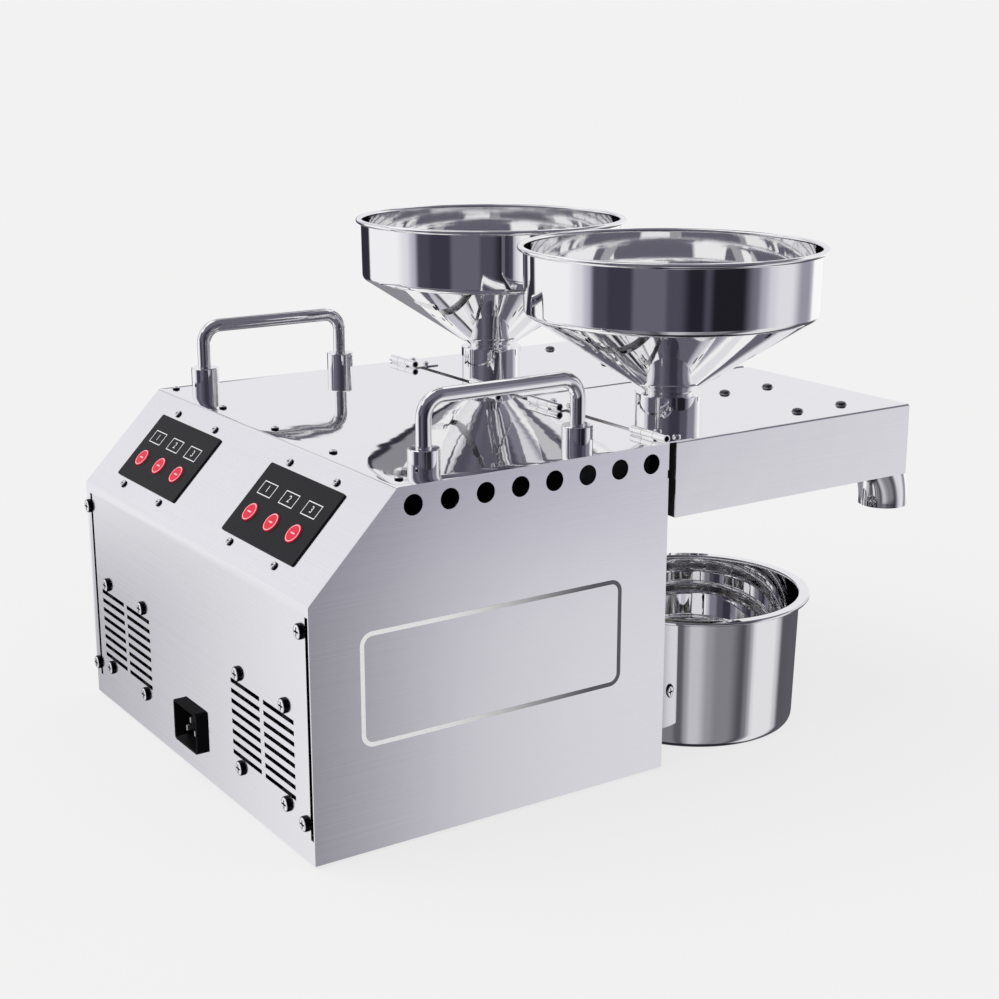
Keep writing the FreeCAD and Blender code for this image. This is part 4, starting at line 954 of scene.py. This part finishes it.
def printed_bar(name):
    deselect()
    bpy.ops.mesh.primitive_plane_add(size=1.0)
    bar = bpy.context.object
    bar.scale = (bar_length, bar_width, 1)
    bar = placed(name)
    editing(bar)
    bpy.ops.mesh.select_all(action="SELECT")
    bpy.ops.mesh.bevel(offset=bar_width / 2.1, segments=5, affect="VERTICES")
    bpy.ops.mesh.select_all(action="SELECT")
    bpy.ops.mesh.extrude_region_move(TRANSFORM_OT_translate={"value": (0, 0, ink)})
    bpy.ops.mesh.select_all(action="SELECT")
    bpy.ops.mesh.normals_make_consistent(inside=False)
    editing(bar, False)
    return bar


for side in sides:
    for which in ("first", "second", "third"):
        name = side + "_" + which + "_button"
        ring_outline = [(ring_outer, 0), (ring_outer, ink), (ring_inner, ink), (ring_inner, 0)]
        ring = turned("ring", (0, 0), ring_outline, around=64)
        mark = joined("mark", [ring, printed_bar("bar")])
        vertices = nodes[name].data.vertices
        face = max(-press_y * v.co.y - press_z * v.co.z for v in vertices)
        caps = [v.co for v in vertices if -press_y * v.co.y - press_z * v.co.z > face - 0.00001]
        along = sum(-press_z * c.y + press_y * c.z for c in caps) / len(caps)
        y = -press_z * along - press_y * face
        z = press_y * along - press_z * face
        mark = laid_on_slope(mark, middle(name).x, y, z)
        mark.name = side + "_" + which + "_button_print"
        fixed_on(mark, name, print_pink)

# %% [markdown]
# ## Screw heads
#
# The screws are black, and their flat faces carry a painted highlight: only those faces are painted
# bright, so each shows a pale disc with a dark cross and a black rim. The bright part is a thin skin
# below the plane of the faces, which lies across y on the front and the back, across z on the top
# and across the slope beside the keypads. The small screws on the top and the slope have a deeper bright
# part.

# %% Black screws with a painted highlight on their faces
face_skin = 0.0005
small_screw_skin = 0.0010
face_blend = 0.0002
# This bright tone is the painted highlight on the screws' flat faces.
painted_highlight_tone = screen(246, 246, 248)
blackened = screen(34, 34, 38)


def screw_finish(name, planes, skin):
    """A black metal with a painted highlight: bright near planes given by (normal, distance along it), black
    elsewhere.
    """
    tree, shader, made = finish(name, blackened, 1.0, 0.12)
    coordinates = node(tree, "ShaderNodeTexCoord").outputs["Object"]
    bright = None
    for normal, distance in planes:
        along = node(tree, "ShaderNodeVectorMath", operation="DOT_PRODUCT")
        wire(tree, coordinates, along.inputs[0])
        along.inputs[1].default_value = normal
        near = span(tree, along.outputs["Value"], distance - skin, distance - skin + face_blend)
        bright = near if bright is None else maths(tree, "MAXIMUM", bright, near)
    wire(tree, blend_colours(tree, bright, blackened, painted_highlight_tone), shader.inputs["Base Color"])
    cloud = pattern(tree, (400.0, 400.0, 400.0), detail=2.0)
    wire(tree, span(tree, cloud, 0.3, 0.7, 0.10, 0.18), shader.inputs["Roughness"])
    return made


def furthest(name, normal):
    """How far a node reaches along a direction."""
    return max(sum(n * c for n, c in zip(normal, v.co)) for v in nodes[name].data.vertices)


ahead = (0, -1, 0)
astern = (0, 1, 0)
upward = (0, 0, 1)
off_slope = (0, -press_y, -press_z)
case_planes = [(normal, furthest("case_screws", normal)) for normal in (ahead, astern)]
panel_planes = [(normal, furthest("panel_screws", normal)) for normal in (upward, off_slope)]
screw_highlight_finishes = {
    "case_screws": screw_finish("case_screw_painted_highlight", case_planes, face_skin),
    "fan_screws": screw_finish("fan_screw_painted_highlight", case_planes[:1], face_skin),
    "panel_screws": screw_finish("panel_screw_painted_highlight", panel_planes, small_screw_skin),
}
for name, material in screw_highlight_finishes.items():
    nodes[name].material_slots[0].material = material
print("screw faces at", [round(distance, 4) for normal, distance in case_planes + panel_planes])

# %% [markdown]
# Each dome screw on a cover stands on a thin turned washer. The domes are part of the model and
# the washers are added here, so their places are read from the domes.

# %% Washers under the covers' domed screws
washer_radius = 0.0049
washer_bore = 0.0040
washer_rise = 0.0005


def domes_of(name):
    """The middles of the four domes that stand on a cover, one in each quarter of their box."""
    raised_points = [v.co for v in nodes[name].data.vertices if v.co.z > top_face + washer_rise]
    x_low, x_high = min(p.x for p in raised_points), max(p.x for p in raised_points)
    y_low, y_high = min(p.y for p in raised_points), max(p.y for p in raised_points)
    dome_width = max(p.x for p in raised_points if p.x < (x_low + x_high) / 2) - x_low
    half = dome_width / 2
    return [(x, y) for x in (x_low + half, x_high - half) for y in (y_low + half, y_high - half)]


washer_top = top_face + washer_rise
washer_outline = [
    (washer_bore, top_face),
    (washer_radius, top_face),
    (washer_radius - washer_rise / 2, washer_top),
    (washer_bore, washer_top),
]
for side in sides:
    places = domes_of(side + "_heat_shield")
    washers = [turned("washer", place, washer_outline, around=24) for place in places]
    fixed_on(joined(side + "_cover_washers", washers), side + "_heat_shield", turned_steel)

# %% [markdown]
# ## The outline on the side panel
#
# A rounded frame is let into the right side panel as decoration. It is a band of thin bright foil
# that darkens towards the rear. It starts as one rectangle whose corners are rounded and whose
# inside is inset by the width of the line and taken out.

# %% Foil that darkens towards the rear
outline_front = -0.2640
outline_rear = -0.0473
outline_low = 0.0778
outline_high = 0.1593
outline_line = 0.0032
outline_corner = 0.0095
foil = 0.00012

foil_bright = screen(255, 255, 255)
foil_dark = screen(92, 92, 100)
foil_tree, foil_shader, gradient_foil = finish("gradient_foil", steel, 0.0, 0.3)
foil_parts = node(foil_tree, "ShaderNodeSeparateXYZ")
wire(foil_tree, node(foil_tree, "ShaderNodeTexCoord").outputs["Object"], foil_parts.inputs[0])
towards_rear = span(foil_tree, foil_parts.outputs[1], outline_front + 0.05, outline_rear - 0.01, smooth=True)
foil_lines = span(foil_tree, pattern(foil_tree, (900.0, 8.0, 900.0)), 0.3, 0.7, 0.0, 0.06)
darkening = maths(foil_tree, "ADD", towards_rear, foil_lines, clamp=True)
toned = blend_colours(foil_tree, darkening, foil_bright, foil_dark)
wire(foil_tree, toned, foil_shader.inputs["Base Color"])
foil_shader.inputs["Specular IOR Level"].default_value = 0.3

# %% The outline
deselect()
bpy.ops.mesh.primitive_plane_add(size=1.0)
outline = bpy.context.object
outline.scale = (outline_rear - outline_front, outline_high - outline_low, 1)
bpy.ops.object.transform_apply(scale=True)
outline.rotation_euler = (math.radians(90), 0, math.radians(90))
outline.location = (panel_face, (outline_front + outline_rear) / 2, (outline_low + outline_high) / 2)
outline = placed("right_side_outline")
editing(outline)
bpy.ops.mesh.select_all(action="SELECT")
bpy.ops.mesh.bevel(offset=outline_corner, segments=10, affect="VERTICES")
bpy.ops.mesh.select_all(action="SELECT")
bpy.ops.mesh.inset(thickness=outline_line, depth=0)
bpy.ops.mesh.delete(type="FACE")
bpy.ops.mesh.select_all(action="SELECT")
bpy.ops.mesh.extrude_region_move(TRANSFORM_OT_translate={"value": (foil, 0, 0)})
bpy.ops.mesh.select_all(action="SELECT")
bpy.ops.mesh.normals_make_consistent(inside=False)
editing(outline, False)
fixed_on(outline, "right_side_panel", gradient_foil)

# %% [markdown]
# ## Folds of the sheet
#
# Sheet is never bent to a knife edge. The front sheet's fold below the keypads and the front edge
# of the top panel are eased. The CAD meshes are loose triangles, so a copy is merged and its flat
# faces joined, and then only the long edge on the fold's line is bevelled.

# %% Ease the long edges of a copy
same_corner = 0.000005
on_line = 0.00005
flat_angle = 0.6


def eased_copy(name, source, picks, reach, segments):
    """A copy of a node's mesh whose edges on the lines (y, z) in picks are bevelled."""
    deselect()
    piece = bpy.data.objects.new(name, nodes[source].data.copy())
    bpy.context.scene.collection.objects.link(piece)
    piece.select_set(True)
    bpy.context.view_layer.objects.active = piece
    bpy.ops.mesh.customdata_custom_splitnormals_clear()
    editing(piece)
    bpy.ops.mesh.select_mode(type="EDGE")
    bpy.ops.mesh.select_all(action="SELECT")
    bpy.ops.mesh.remove_doubles(threshold=same_corner)
    bpy.ops.mesh.dissolve_limited(angle_limit=math.radians(flat_angle))
    bpy.ops.mesh.select_all(action="DESELECT")
    editing(piece, False)
    count = 0
    for edge in piece.data.edges:
        ends = [piece.data.vertices[index].co for index in edge.vertices]
        if any(all(abs(end.y - y) < on_line and abs(end.z - z) < on_line for end in ends) for y, z in picks):
            edge.select = True
            count += 1
    editing(piece)
    bpy.ops.mesh.bevel(offset=reach, segments=segments, affect="EDGES")
    editing(piece, False)
    smooth(piece, 40.0)
    print(name, count, "long edges eased")
    return piece


case_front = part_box("front_shell")[0].y
slope_foot = 0.184
slope_run = 0.068
shell_fold_reach = 0.0010
lid_edge_reach = 0.0007
shell = eased_copy("front_shell_folded", "front_shell", [(case_front, slope_foot)], shell_fold_reach, 4)
stands_for(shell, "front_shell", brushed_across)
lid = eased_copy("top_panel_eased", "top_panel", [(case_front + slope_run, top_face)], lid_edge_reach, 3)
stands_for(lid, "top_panel", mirror_sheet)

# %% [markdown]
# ## Painted shade behind the gap
#
# Between the case and each cover there is a narrow gap that looks black over its whole height. A
# dark strip with the rubber finish stands behind it as painted shade, inside the cover's outer
# wall, and hangs a little lower than the wall. It is one block whose long edges are rounded.

# %% Dark strips of painted shade in the gaps
shade_strip_width = 0.0140
shade_strip_depth = 0.0014
shade_strip_hang = 0.0002
shade_strip_round = 0.0004
shade_strip_clear = 1.3 * wall
# Each strip is a dark block that stands for the shade in the gap between case and cover.
for side in sides:
    low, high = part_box(side + "_cover")
    outer_wall = high.x if side == "right" else -low.x
    shade_strip_x = (outer_wall - shade_strip_clear - shade_strip_width / 2) * (1 if side == "right" else -1)
    shade_strip_low = low.z - shade_strip_hang
    shade_strip_high = top_face - shade_strip_clear
    deselect()
    bpy.ops.mesh.primitive_cube_add(size=1.0)
    shade_strip = bpy.context.object
    shade_strip.scale = (shade_strip_width, shade_strip_depth, shade_strip_high - shade_strip_low)
    shade_strip.location = (shade_strip_x, low.y + 0.7 * shade_strip_depth, (shade_strip_low + shade_strip_high) / 2)
    shade_strip = placed(side + "_cover_shade_strip")
    editing(shade_strip)
    bpy.ops.mesh.select_all(action="SELECT")
    bpy.ops.mesh.bevel(offset=shade_strip_round, segments=2, affect="EDGES")
    editing(shade_strip, False)
    smooth(shade_strip)
    fixed_on(shade_strip, side + "_cover", rubber)
